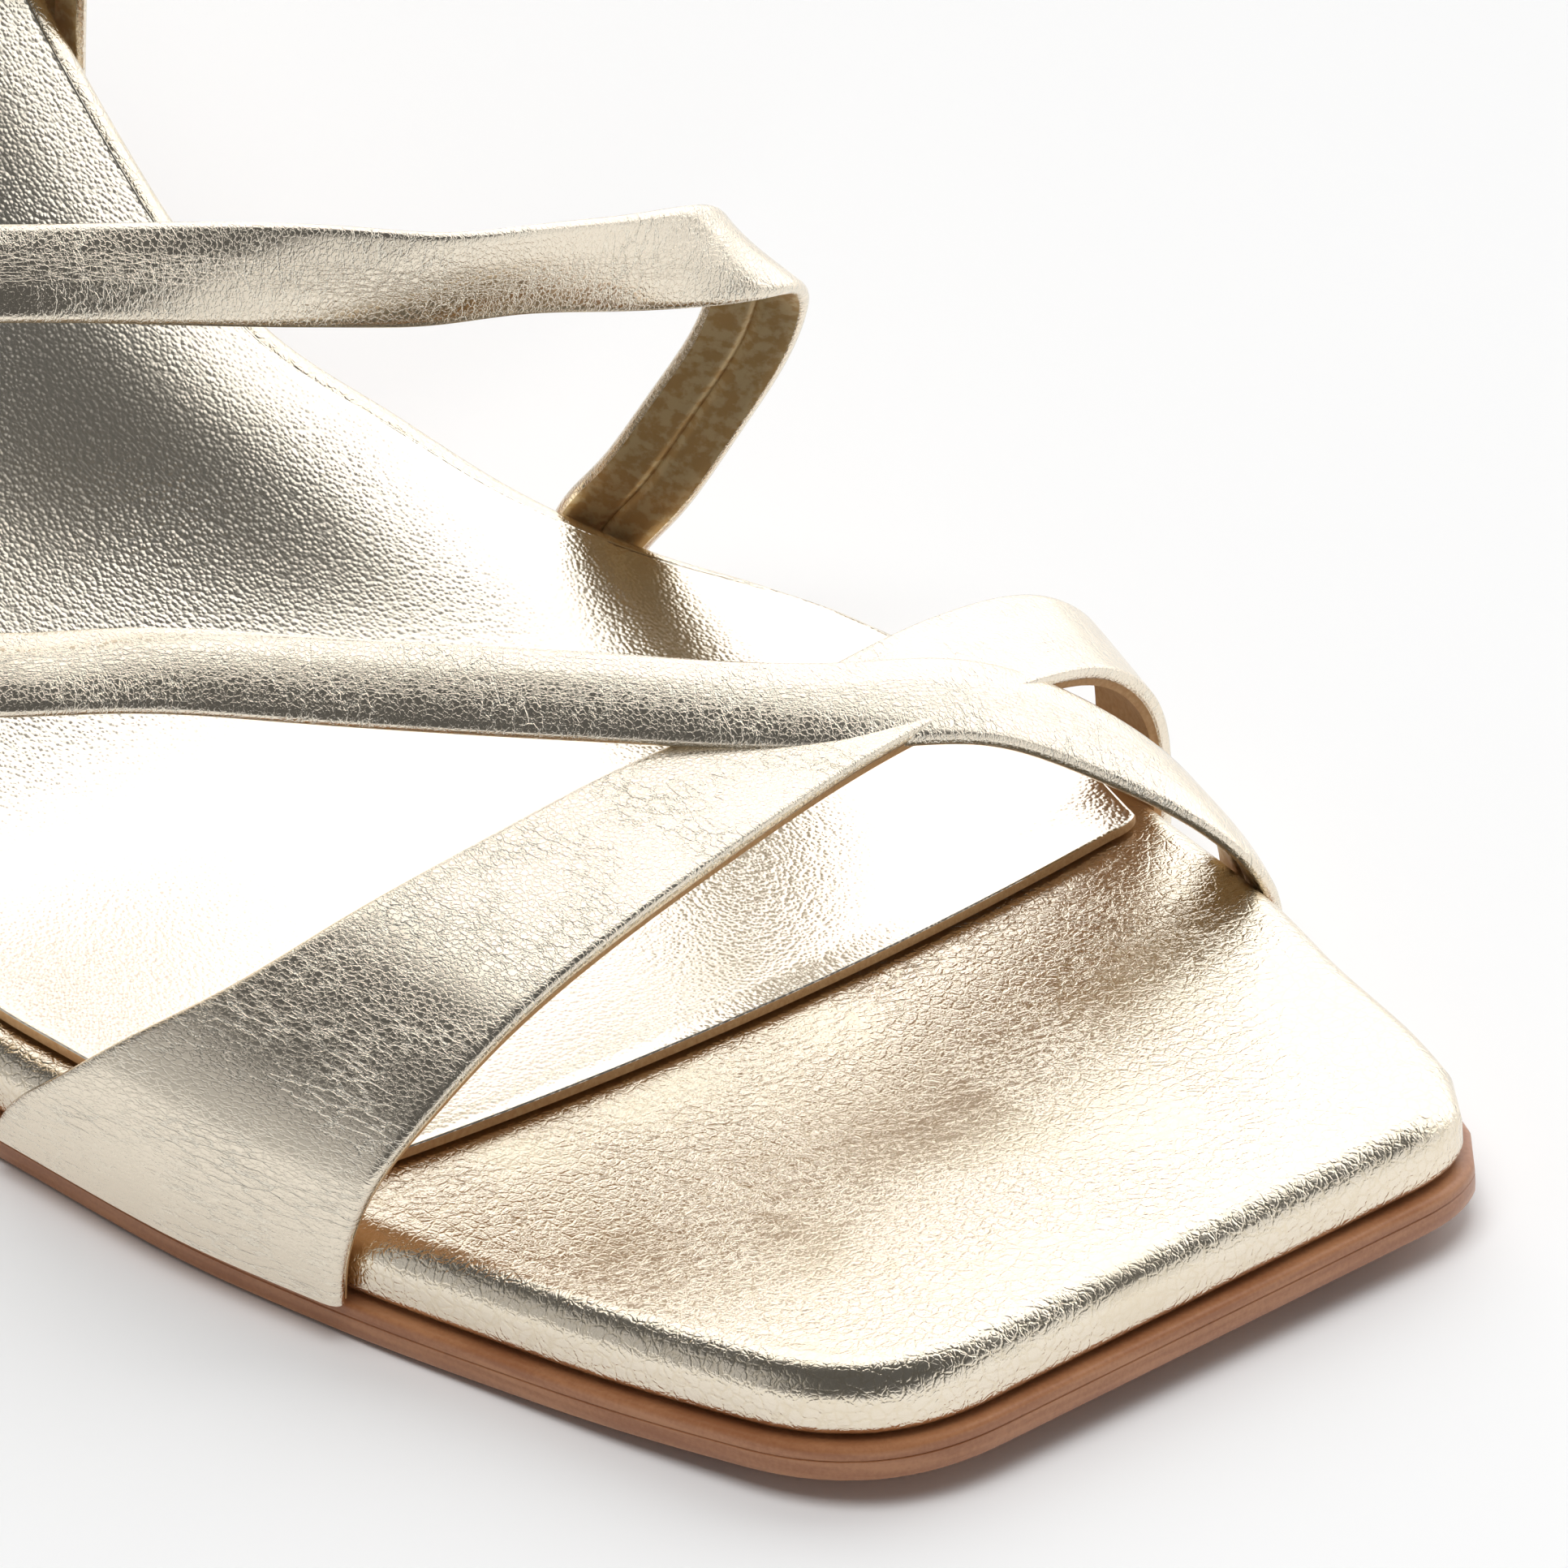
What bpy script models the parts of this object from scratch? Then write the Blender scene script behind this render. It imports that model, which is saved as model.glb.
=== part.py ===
"""Strappy heeled sandal with a square toe, right shoe, in metres.

+X points from the heel to the toe, +Y to the inner side of the foot and +Z up. The sole and insole are drawn
flat, as they are cut, and bent along the side profile of the shoe. A place on them is given by how far it
lies behind the toe edge, measured along the sole, how far it lies to the inner side, and how high it stands
over the underside of the sole.
"""

import math

import bmesh
import bpy
import numpy as np

MM = 0.001

# sizes of the shoe
INSOLE_LENGTH = 250 * MM
BALL_WIDTH = 84 * MM
HEEL_RISE = 82 * MM
OUTSOLE_THICK = 2.6 * MM
BOARD_THICK = 5.0 * MM
SOCK_THICK = 0.8 * MM
GAP = 0.3 * MM
WELT = 0.8 * MM
OUTSOLE_BEVEL = 0.4 * MM
BOARD_TOP_ROUND = 2.5 * MM
BOARD_FOOT_ROUND = 1.0 * MM
SOCK_MARGIN = 2.9 * MM
SEAT_START = 197 * MM
OUTSOLE_SHORT = 1.6 * MM
CUP_REACH = 25 * MM

TOP_PIECE_LENGTH = 11.5 * MM
TOP_PIECE_WIDTH = 11.0 * MM
TOP_PIECE_THICK = 5.5 * MM
HEEL_TIP_BEHIND_TOE = 212.5 * MM

WIDE_STRAP_THICK = 1.6 * MM
STRAP_WIDTH = 7.2 * MM
BACK_STRAP_WIDTH = 6.6 * MM
STRAP_THICK = 1.8 * MM
WALL_CLEARANCE = 0.35 * MM

BUCKLE_STRAP_WIDTH = 6.0 * MM
BUCKLE_STRAP_THICK = 1.2 * MM
BACK_STRAP_THICK = 1.4 * MM
WIRE_RADIUS = 0.75 * MM
PRONG_RADIUS = 0.5 * MM
FRAME_LENGTH = 9.5 * MM
FRAME_OPENING = 7.6 * MM
FRAME_LIFT = 2.4 * MM
TIP_LENGTH = 26 * MM
KEEPER_WIDTH = 4.0 * MM
KEEPER_THICK = 0.8 * MM
KEEPER_BELOW_BAR = 14 * MM

# heights over the underside of the sole
BOARD_FOOT = OUTSOLE_THICK + GAP
BOARD_TOP = BOARD_FOOT + BOARD_THICK
SOCK_FOOT = BOARD_TOP + GAP
SOCK_TOP = SOCK_FOOT + SOCK_THICK

# along: share of the insole length behind the toe edge
# base: slope in degrees with any heel, raised: slope in degrees that grows with the heel rise
SLOPE = (
    (0.00, -4.5, 0),
    (0.08, -3.5, 0),
    (0.16, -1.0, 0),
    (0.21, 0.0, 0),
    (0.29, 0.0, 0),
    (0.36, 0.0, 14),
    (0.43, 0.0, 30),
    (0.50, 0.0, 40),
    (0.58, 0.0, 43),
    (0.68, 0.0, 38),
    (0.78, 0.0, 27),
    (0.88, 0.0, 18),
    (1.00, 0.0, 15),
)

# along: share of the insole length; inner, outer: edges of the board as shares of the ball width
EDGES = (
    (0.000, 0.389, -0.256),
    (0.040, 0.434, -0.296),
    (0.080, 0.464, -0.333),
    (0.120, 0.498, -0.363),
    (0.172, 0.521, -0.400),
    (0.228, 0.540, -0.430),
    (0.280, 0.548, -0.441),
    (0.310, 0.538, -0.446),
    (0.340, 0.507, -0.447),
    (0.372, 0.451, -0.443),
    (0.412, 0.387, -0.424),
    (0.452, 0.330, -0.392),
    (0.500, 0.256, -0.350),
    (0.545, 0.228, -0.315),
    (0.600, 0.223, -0.287),
    (0.660, 0.238, -0.278),
    (0.720, 0.259, -0.286),
    (0.790, 0.288, -0.306),
    (0.860, 0.304, -0.318),
    (0.900, 0.305, -0.317),
)
SEAT_ROUND_FROM = 0.888

# along: share of the insole length; lift: how far the sole turns up at the cup reach, in metres
CUP = (
    (0.00, 0.0),
    (0.30, 0.0),
    (0.42, 0.3 * MM),
    (0.52, 1.2 * MM),
    (0.66, 1.7 * MM),
    (0.85, 1.9 * MM),
    (1.00, 1.9 * MM),
)

# rows across the sole and insole, as shares of the insole length
STATIONS = (
    0.025, 0.05, 0.08, 0.11, 0.14, 0.18, 0.22, 0.26, 0.30, 0.335, 0.365, 0.395, 0.425, 0.455, 0.485,
    0.515, 0.55, 0.59, 0.63, 0.67, 0.71, 0.75, 0.79, 0.83, 0.87, 0.905, 0.94,
)
COLUMNS = 8

# wide strap, from the outer foot over the toes to the inner foot
# front and rear edge, each: along share, across share (-1 outer wall, 1 inner wall), height over the board
WIDE_STRAP = (
    (0.164, -1.00, -5.0, 0.292, -1.00, -5.0),
    (0.163, -1.00, -2.0, 0.285, -1.00, -2.0),
    (0.160, -0.99, 1.6, 0.270, -0.99, 1.6),
    (0.155, -0.96, 5.6, 0.250, -0.95, 6.2),
    (0.152, -0.87, 9.0, 0.231, -0.85, 10.2),
    (0.151, -0.72, 12.4, 0.218, -0.68, 13.9),
    (0.152, -0.45, 15.6, 0.208, -0.42, 16.9),
    (0.156, -0.16, 17.0, 0.203, -0.15, 18.4),
    (0.162, 0.12, 17.4, 0.200, 0.12, 18.6),
    (0.168, 0.42, 16.8, 0.206, 0.42, 17.8),
    (0.174, 0.68, 14.6, 0.212, 0.68, 16.0),
    (0.179, 0.87, 11.2, 0.213, 0.88, 13.0),
    (0.181, 0.97, 6.6, 0.211, 0.98, 8.2),
    (0.181, 1.00, 0.0, 0.210, 1.00, 0.0),
    (0.181, 1.00, -5.0, 0.210, 1.00, -5.0),
)

# crossing strap, from the inner foot over the wide strap to the outer waist
# along and across shares, height over the board in mm, lean: how steeply its face rises toward the heel
CROSSING_STRAP = (
    (0.139, 1.00, -5.0, 0.0),
    (0.139, 1.00, -2.6, 0.0),
    (0.138, 0.972, 0.2, 0.0),
    (0.140, 0.915, 3.6, 0.3),
    (0.148, 0.83, 7.4, 0.6),
    (0.161, 0.69, 12.0, 0.7),
    (0.172, 0.50, 16.6, 0.55),
    (0.182, 0.28, 18.9, 0.45),
    (0.214, -0.04, 21.4, 0.45),
    (0.270, -0.42, 23.3, 0.32),
    (0.330, -0.70, 23.8, 0.08),
    (0.382, -0.88, 22.4, -0.13),
    (0.424, -0.98, 16.8, -0.14),
    (0.449, -1.02, 8.4, -0.06),
    (0.460, -1.01, 1.0, 0.0),
    (0.463, -1.00, -5.0, 0.0),
)

# instep strap, from the inner waist over the instep to the outer waist, columns as above
INSTEP_STRAP = (
    (0.392, 1.00, -4.8, 0.0),
    (0.392, 1.00, -2.4, 0.0),
    (0.387, 1.001, 1.6, 0.0),
    (0.381, 1.011, 8.0, 0.0),
    (0.375, 1.025, 14.7, 0.05),
    (0.368, 1.017, 20.9, 0.08),
    (0.365, 0.997, 26.5, 0.28),
    (0.357, 0.884, 30.7, 0.52),
    (0.369, 0.680, 33.9, 0.82),
    (0.393, 0.450, 37.4, 0.74),
    (0.445, 0.190, 38.7, 0.38),
    (0.487, -0.180, 39.2, 0.10),
    (0.515, -0.620, 36.6, -0.15),
    (0.545, -0.98, 29.0, -0.2),
    (0.570, -1.10, 20.0, -0.1),
    (0.588, -1.08, 11.0, 0.0),
    (0.597, -1.01, 3.0, 0.0),
    (0.599, -1.00, -2.0, 0.0),
    (0.599, -1.00, -5.0, 0.0),
)

# back strap behind the ankle, from the inner waist: forward, side and up from the back of the seat, in mm
INNER_ANCHOR = 0.600
OUTER_ANCHOR = 0.640
ANCHOR_LEAN = 0.85
BACK_STRAP = (
    (86.0, 23.5, -24.0),
    (83.0, 28.0, -6.0),
    (74.0, 31.5, 14.0),
    (58.0, 32.0, 34.0),
    (36.0, 29.5, 51.0),
    (15.0, 22.0, 61.0),
    (2.5, 6.5, 64.0),
    (3.0, -11.0, 62.5),
    (13.0, -25.0, 55.0),
)
BUCKLE_STRAP = ((75.5, -28.5, -21.0),)
BUCKLE_AT = (45.0, -34.5, 20.0)
BUCKLE_LINE = (-0.66, -0.06, 0.75)

# across the strap: share of the half width, share of the half thickness
STRAP_SECTION = (
    (-1.00, -0.10),
    (-0.93, 0.60),
    (-0.55, 1.00),
    (0.55, 1.00),
    (0.93, 0.60),
    (1.00, -0.10),
    (0.88, -0.95),
    (-0.88, -0.95),
)
WIDE_SECTION = (
    (-1.00, 0.00),
    (-0.97, 0.70),
    (-0.85, 1.00),
    (-0.50, 1.00),
    (-0.17, 1.00),
    (0.17, 1.00),
    (0.50, 1.00),
    (0.85, 1.00),
    (0.97, 0.70),
    (1.00, 0.00),
    (0.95, -0.95),
    (0.50, -1.00),
    (0.17, -1.00),
    (-0.17, -1.00),
    (-0.50, -1.00),
    (-0.95, -0.95),
)

# name: colour (linear), metallic, roughness
FINISHES = {
    "metallic leather": ((0.62, 0.55, 0.43), 0.9, 0.34),
    "sole leather": ((0.40, 0.17, 0.07), 0.0, 0.5),
    "pale metal": ((0.80, 0.68, 0.45), 1.0, 0.22),
    "top piece": ((0.30, 0.17, 0.09), 0.0, 0.6),
}


def smooth_table(shares, values, at):
    """Smooth curve through a table that never overshoots it."""
    shares = np.asarray(shares, float)
    values = np.asarray(values, float)
    at = np.asarray(at, float)
    step = np.diff(shares)
    rise = np.diff(values) / step
    slope = np.zeros(len(shares))
    slope[0] = rise[0]
    slope[-1] = rise[-1]
    for i in range(1, len(shares) - 1):
        if rise[i - 1] * rise[i] > 0:
            before = 2 * step[i] + step[i - 1]
            after = step[i] + 2 * step[i - 1]
            slope[i] = (before + after) / (before / rise[i - 1] + after / rise[i])
    i = np.clip(np.searchsorted(shares, at) - 1, 0, len(shares) - 2)
    t = (at - shares[i]) / step[i]
    start = values[i] * (2 * t**3 - 3 * t**2 + 1) + step[i] * slope[i] * (t**3 - 2 * t**2 + t)
    end = values[i + 1] * (3 * t**2 - 2 * t**3) + step[i] * slope[i + 1] * (t**3 - t**2)
    return start + end


def column(table, k):
    return [row[k] for row in table]


def side_profile(samples=501):
    """Slope, distance forward and height of the underside along the sole, with the wanted heel rise."""
    share = np.linspace(0, 1, samples)
    base = smooth_table(column(SLOPE, 0), column(SLOPE, 1), share)
    raised = smooth_table(column(SLOPE, 0), column(SLOPE, 2), share)
    step = INSOLE_LENGTH / (samples - 1)

    def bent(scale):
        slope = np.radians(base + scale * raised)
        middle = (slope[1:] + slope[:-1]) / 2
        forward = np.concatenate(([0], np.cumsum(-np.cos(middle)) * step))
        height = np.concatenate(([0], np.cumsum(np.sin(middle)) * step))
        return slope, forward, height - height.min()

    low, high = 0.2, 2.2
    for _ in range(50):
        scale = (low + high) / 2
        if bent(scale)[2][-1] > HEEL_RISE:
            high = scale
        else:
            low = scale
    return (share * INSOLE_LENGTH,) + bent(scale)


PROFILE = side_profile()


def cup_lift(along, inward):
    lift = smooth_table(column(CUP, 0), column(CUP, 1), np.clip(along / INSOLE_LENGTH, 0, 1))
    return lift * (inward / CUP_REACH) ** 2


def bend(along, inward, height):
    """Flat pattern to the bent shoe."""
    along, inward, height = np.broadcast_arrays(*(np.asarray(v, float) for v in (along, inward, height)))
    stations, slope, forward, up = PROFILE
    angle = np.interp(along, stations, slope)
    x = np.interp(along, stations, forward)
    z = np.interp(along, stations, up)
    past = np.minimum(along, 0) + np.maximum(along - INSOLE_LENGTH, 0)
    x = x - past * np.cos(angle)
    z = z + past * np.sin(angle)
    height = height + cup_lift(along, inward)
    return np.stack([x + height * np.sin(angle), inward, z + height * np.cos(angle)], axis=-1)


def board_edge(along, inner):
    """Inner or outer edge of the board, with the seat rounded off at the back."""
    share = np.clip(np.asarray(along, float) / INSOLE_LENGTH, 0, 1)
    edge = smooth_table(column(EDGES, 0), column(EDGES, 1 if inner else 2), np.minimum(share, 0.90))
    past = np.clip((share - SEAT_ROUND_FROM) / (1 - SEAT_ROUND_FROM), 0, 1)
    ends = [smooth_table(column(EDGES, 0), column(EDGES, k), 0.90) for k in (1, 2)]
    middle = sum(ends) / 2
    rounded = middle + (ends[0 if inner else 1] - middle) * np.sqrt(1 - past**2)
    return np.where(share > SEAT_ROUND_FROM, rounded, edge) * BALL_WIDTH


def cut_corner(line_end, corner, side_start, count=9):
    t = np.linspace(0, 1, count)[:, None]
    return (1 - t) ** 2 * line_end + 2 * t * (1 - t) * corner + t**2 * side_start


def toward(start, end, distance):
    step = end - start
    return start + step * distance / np.hypot(*step)


class Pattern:
    """Closed flat outline of a sole part, kept as toe edge, inner side, back and outer side."""

    def __init__(self, inner, outer, front, corners, end=None, inset=0.0, bow=0.0):
        inner_side = self.side(inner, front[1], end)
        outer_side = self.side(outer, front[0], end)
        outer_corner = outer_side[0]
        inner_corner = inner_side[0]
        outer_on = toward(outer_corner, inner_corner, corners[0])
        inner_on = toward(inner_corner, outer_corner, corners[1])
        outer_from = self.trim(outer_side, corners[0])
        inner_from = self.trim(inner_side, corners[1])
        outer_arc = cut_corner(outer_from[0], outer_corner, outer_on)
        inner_arc = cut_corner(inner_on, inner_corner, inner_from[0])
        share = np.linspace(0, 1, 12)[1:-1, None]
        edge = share * (inner_on - outer_on) + outer_on
        edge[:, :1] -= 4 * share * (1 - share) * bow
        loop = [outer_arc, edge, inner_arc, inner_from[1:]]
        if end is None:
            loop.append(outer_from[-2:0:-1])
        else:
            loop.append(outer_from[:0:-1])
        loop = np.concatenate(loop)
        half = len(outer_arc) // 2
        marks = [half, len(outer_arc) + len(edge) + half]
        if end is None:
            angle = np.arctan2(loop[:, 1], loop[:, 0] - INSOLE_LENGTH + 28 * MM)
            back = np.arange(len(loop)) > marks[1]
            marks.append(int(np.argmin(np.abs(angle - math.radians(45)) + ~back * 9)))
            marks.append(int(np.argmin(np.abs(angle + math.radians(45)) + ~back * 9)))
        else:
            marks.append(len(outer_arc) + len(edge) + len(inner_arc) + len(inner_from) - 2)
            marks.append(marks[-1] + 1)
        self.loop = loop - outward(loop) * inset
        self.straight_back = end is not None
        self.marks = marks

    @staticmethod
    def side(edge, start, end):
        last = INSOLE_LENGTH if end is None else end
        if end is None:
            t = np.linspace(0, 1, 160)
            along = start + (last - start) * np.sin(t * math.pi / 2) ** 1.3
        else:
            along = np.linspace(start, last, 140)
        return np.stack([along, edge(along)], axis=-1)

    @staticmethod
    def trim(side, distance):
        length = np.concatenate(([0], np.cumsum(np.hypot(*np.diff(side, axis=0).T))))
        keep = side[length > distance + 0.2 * MM]
        first = [np.interp(distance, length, side[:, k]) for k in (0, 1)]
        return np.concatenate(([first], keep))

    def grid(self, columns=COLUMNS):
        """Rows of points across the outline, from the toe edge to the back."""
        toe, inner_at, back, outer_at = self.marks
        loop = self.loop
        toe_row = even(loop[toe : inner_at + 1], columns + 1)
        inner_side = loop[inner_at : back + 1]
        around = np.concatenate((loop[outer_at:], loop[: toe + 1]))[::-1]
        if self.straight_back:
            back_row = even(np.array([loop[outer_at], loop[back]]), columns + 1)
        else:
            back_row = even(loop[back : outer_at + 1][::-1], columns + 1)
        first = max(toe_row[0, 0], toe_row[-1, 0]) + 1.5 * MM
        last = min(back_row[0, 0], back_row[-1, 0]) - 2.5 * MM
        rows = [toe_row]
        u = np.linspace(0, 1, columns + 1)[:, None]
        for station in STATIONS:
            at = station * INSOLE_LENGTH
            if not first < at < last:
                continue
            sides = (around, inner_side)
            ends = [np.array([at, np.interp(at, side[:, 0], side[:, 1])]) for side in sides]
            row = ends[0] * (1 - u) + ends[1] * u
            for end_row, reach, away in ((toe_row, 24 * MM, at - first), (back_row, 38 * MM, last - at)):
                weight = max(0.0, 1 - away / reach) ** 2
                row = row + weight * (end_row - (end_row[:1] * (1 - u) + end_row[-1:] * u))
            rows.append(row)
        rows.append(back_row)
        return np.array(rows)


def even(line, count):
    """The same line with evenly spaced points."""
    length = np.concatenate(([0], np.cumsum(np.linalg.norm(np.diff(line, axis=0), axis=1))))
    at = np.linspace(0, length[-1], count)
    return np.stack([np.interp(at, length, line[:, k]) for k in range(line.shape[1])], axis=-1)


def outward(loop):
    """Unit vectors out of a closed flat loop."""
    step = np.roll(loop, -1, axis=0) - loop
    step = step / np.maximum(np.hypot(*step.T)[:, None], 1e-9)
    tangent = step + np.roll(step, 1, axis=0)
    tangent /= np.maximum(np.hypot(*tangent.T)[:, None], 1e-9)
    area = np.sum(loop[:, 0] * np.roll(loop[:, 1], -1) - loop[:, 1] * np.roll(loop[:, 0], -1))
    normal = np.stack([tangent[:, 1], -tangent[:, 0]], axis=-1)
    return normal if area > 0 else -normal


def solid(name, points, faces, finish):
    mesh = bpy.data.meshes.new(name)
    mesh.from_pydata([tuple(p) for p in points], [], faces)
    work = bmesh.new()
    work.from_mesh(mesh)
    bmesh.ops.recalc_face_normals(work, faces=work.faces)
    if work.calc_volume(signed=True) < 0:
        bmesh.ops.reverse_faces(work, faces=work.faces)
    work.to_mesh(mesh)
    work.free()
    for face in mesh.polygons:
        face.use_smooth = True
    mesh.materials.append(finish_material(finish))
    item = bpy.data.objects.new(name, mesh)
    bpy.context.scene.collection.objects.link(item)
    return item


def finish_material(finish):
    found = bpy.data.materials.get(finish)
    if found:
        return found
    colour, metallic, roughness = FINISHES[finish]
    made = bpy.data.materials.new(finish)
    made.use_nodes = True
    shader = made.node_tree.nodes["Principled BSDF"]
    shader.inputs["Base Color"].default_value = (*colour, 1.0)
    shader.inputs["Metallic"].default_value = metallic
    shader.inputs["Roughness"].default_value = roughness
    made.diffuse_color = (*colour, 1.0)
    return made


def rim_of(grid):
    """Grid places around the edge, in order."""
    rows, columns = grid.shape[0] - 1, grid.shape[1] - 1
    around = [(0, j) for j in range(columns + 1)]
    around += [(i, columns) for i in range(1, rows + 1)]
    around += [(rows, j) for j in range(columns - 1, -1, -1)]
    around += [(i, 0) for i in range(rows - 1, 0, -1)]
    return around


def plate(name, grid, rings, finish):
    """Closed plate. Rings run from the top edge round to the foot edge, each: distance out, height."""
    rows, columns = grid.shape[:2]
    around = rim_of(grid)
    rim = np.array([grid[i, j] for i, j in around])
    out = outward(rim)
    points, faces = [], []
    layers = []
    for distance, height in (rings[0], rings[-1]):
        flat = grid.copy()
        for k, (i, j) in enumerate(around):
            flat[i, j] = rim[k] + out[k] * distance
        layers.append(len(points))
        points.extend(bend(flat[..., 0], flat[..., 1], height).reshape(-1, 3))
    for start in layers:
        for i in range(rows - 1):
            for j in range(columns - 1):
                a = start + i * columns + j
                faces.append((a, a + 1, a + columns + 1, a + columns))
    edges = [[layers[0] + i * columns + j for i, j in around]]
    for distance, height in rings[1:-1]:
        edges.append(list(range(len(points), len(points) + len(rim))))
        flat = rim + out * distance
        points.extend(bend(flat[:, 0], flat[:, 1], height))
    edges.append([layers[1] + i * columns + j for i, j in around])
    for upper, lower in zip(edges, edges[1:]):
        for k in range(len(rim)):
            n = (k + 1) % len(rim)
            faces.append((upper[k], upper[n], lower[n], lower[k]))
    return solid(name, points, faces, finish)


def rounded_wall(top, foot, top_round, foot_round, steps=4):
    """Rings of a wall with a rounded top and foot edge."""
    rings = []
    for k in range(steps + 1):
        angle = math.pi / 2 * k / steps
        rings.append((top_round * math.sin(angle), top - top_round * (1 - math.cos(angle))))
    for k in range(3):
        angle = math.pi / 4 * k
        inward, up = foot_round * (1 - math.cos(angle)), foot_round * (1 - math.sin(angle))
        rings.append((top_round - inward, foot + up))
    return rings


def inner_edge(along):
    return board_edge(along, True)


def outer_edge(along):
    return board_edge(along, False)


def board_pattern(inset=0.0, end=None):
    return Pattern(inner_edge, outer_edge, (1.0 * MM, -1.0 * MM), (10 * MM, 7 * MM), end, inset)


def make_outsole():
    pattern = board_pattern(0.0, SEAT_START - OUTSOLE_SHORT - WELT)
    low, high = OUTSOLE_BEVEL, OUTSOLE_THICK - OUTSOLE_BEVEL
    flat = WELT - OUTSOLE_BEVEL
    rings = [(flat, OUTSOLE_THICK), (WELT, high), (WELT, low), (flat, 0.0)]
    return plate("outsole", pattern.grid(), rings, "sole leather")


def make_board():
    grid = board_pattern(BOARD_TOP_ROUND).grid()
    rings = rounded_wall(BOARD_TOP, BOARD_FOOT, BOARD_TOP_ROUND, BOARD_FOOT_ROUND)
    return plate("insole_board", grid, rings, "metallic leather")


def make_sock():
    front = (43.6 * MM, 38.9 * MM)
    pattern = Pattern(inner_edge, outer_edge, front, (5 * MM, 6 * MM), None, SOCK_MARGIN, 2.0 * MM)
    rings = [(0.0, SOCK_TOP), (0.0, SOCK_FOOT)]
    return plate("insole_sock", pattern.grid(), rings, "metallic leather")


def make_heel():
    pattern = Pattern(inner_edge, outer_edge, (SEAT_START, SEAT_START), (3 * MM, 3 * MM), None, 0.3 * MM)
    grid = pattern.grid()
    rows, columns = grid.shape[:2]
    around = rim_of(grid)
    top = bend(grid[..., 0], grid[..., 1], OUTSOLE_THICK)
    rim = np.array([top[i, j] for i, j in around])
    flat = np.array([grid[i, j] for i, j in around])
    middle = (flat.max(axis=0) + flat.min(axis=0)) / 2
    half = (flat.max(axis=0) - flat.min(axis=0)) / 2
    share = (flat - middle) / half
    foot_height = TOP_PIECE_THICK + GAP
    tip = np.stack(
        [
            -HEEL_TIP_BEHIND_TOE - share[:, 0] * TOP_PIECE_LENGTH / 2,
            share[:, 1] * TOP_PIECE_WIDTH / 2,
            np.full(len(share), foot_height),
        ],
        axis=-1,
    )
    drop = rim[:, 2:] - foot_height
    down = np.array([0, 0, 1.0])
    taper = np.stack([-share[:, 0], share[:, 1], 0 * share[:, 0]], axis=-1)
    upper_hand = rim - down * drop * 0.30
    lower_hand = tip + down * drop * 0.62 + taper * 1.6 * MM
    points = list(top.reshape(-1, 3))
    faces = []
    for i in range(rows - 1):
        for j in range(columns - 1):
            a = i * columns + j
            faces.append((a, a + 1, a + columns + 1, a + columns))
    above = [i * columns + j for i, j in around]
    for t in (0.05, 0.11, 0.18, 0.25, 0.33, 0.41, 0.5, 0.6, 0.7, 0.8, 0.9, 1.0):
        ring = (1 - t) ** 3 * rim + 3 * (1 - t) ** 2 * t * upper_hand
        ring = ring + 3 * (1 - t) * t**2 * lower_hand + t**3 * tip
        here = list(range(len(points), len(points) + len(ring)))
        points.extend(ring)
        for k in range(len(ring)):
            n = (k + 1) % len(ring)
            faces.append((above[k], above[n], here[n], here[k]))
        above = here
    faces.append(tuple(above))
    heel = solid("heel", points, faces, "metallic leather")

    low = tip.copy()
    low[:, 2] = 0.0
    high = tip.copy()
    high[:, 2] = TOP_PIECE_THICK
    n = len(tip)
    faces = [tuple(range(n)), tuple(range(n, 2 * n))]
    faces += [(k, (k + 1) % n, n + (k + 1) % n, n + k) for k in range(n)]
    top_piece = solid("heel_top_piece", list(low) + list(high), faces, "top piece")
    return heel, top_piece


def foot_place(along, across, height, thick):
    """Bent place of a strap's middle, from shares along and across and the height over the board in mm.

    A height below zero runs down the board's wall, counted in fifths of its thickness.
    """
    along = along * INSOLE_LENGTH
    inner = board_edge(along, True) + WALL_CLEARANCE + thick / 2
    outer = board_edge(along, False) - WALL_CLEARANCE - thick / 2
    inward = (inner + outer) / 2 + across * (inner - outer) / 2
    rise = np.maximum(height, 0) * MM + np.minimum(height, 0) * BOARD_THICK / 5
    return bend(along, inward, BOARD_TOP + rise)


def through(rows, weights, count):
    """Natural cubic curve through rows, parted by the weights between them."""
    rows = np.asarray(rows, float)
    knots = np.concatenate(([0], np.cumsum(weights)))
    n = len(rows)
    step = np.diff(knots)
    matrix = np.zeros((n, n))
    right = np.zeros((n, rows.shape[1]))
    matrix[0, 0] = matrix[-1, -1] = 1
    for i in range(1, n - 1):
        matrix[i, i - 1] = step[i - 1]
        matrix[i, i] = 2 * (step[i - 1] + step[i])
        matrix[i, i + 1] = step[i]
        right[i] = 6 * ((rows[i + 1] - rows[i]) / step[i] - (rows[i] - rows[i - 1]) / step[i - 1])
    second = np.linalg.solve(matrix, right)
    at = np.linspace(0, knots[-1], count)
    i = np.clip(np.searchsorted(knots, at) - 1, 0, n - 2)
    a = ((knots[i + 1] - at) / step[i])[:, None]
    b = ((at - knots[i]) / step[i])[:, None]
    bow = ((a**3 - a) * second[i] + (b**3 - b) * second[i + 1]) * step[i][:, None] ** 2 / 6
    return a * rows[i] + b * rows[i + 1] + bow


def gaps_between(points):
    return np.linalg.norm(np.diff(points, axis=0), axis=1)


def unit(vectors):
    return vectors / np.maximum(np.linalg.norm(vectors, axis=-1, keepdims=True), 1e-12)


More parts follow.
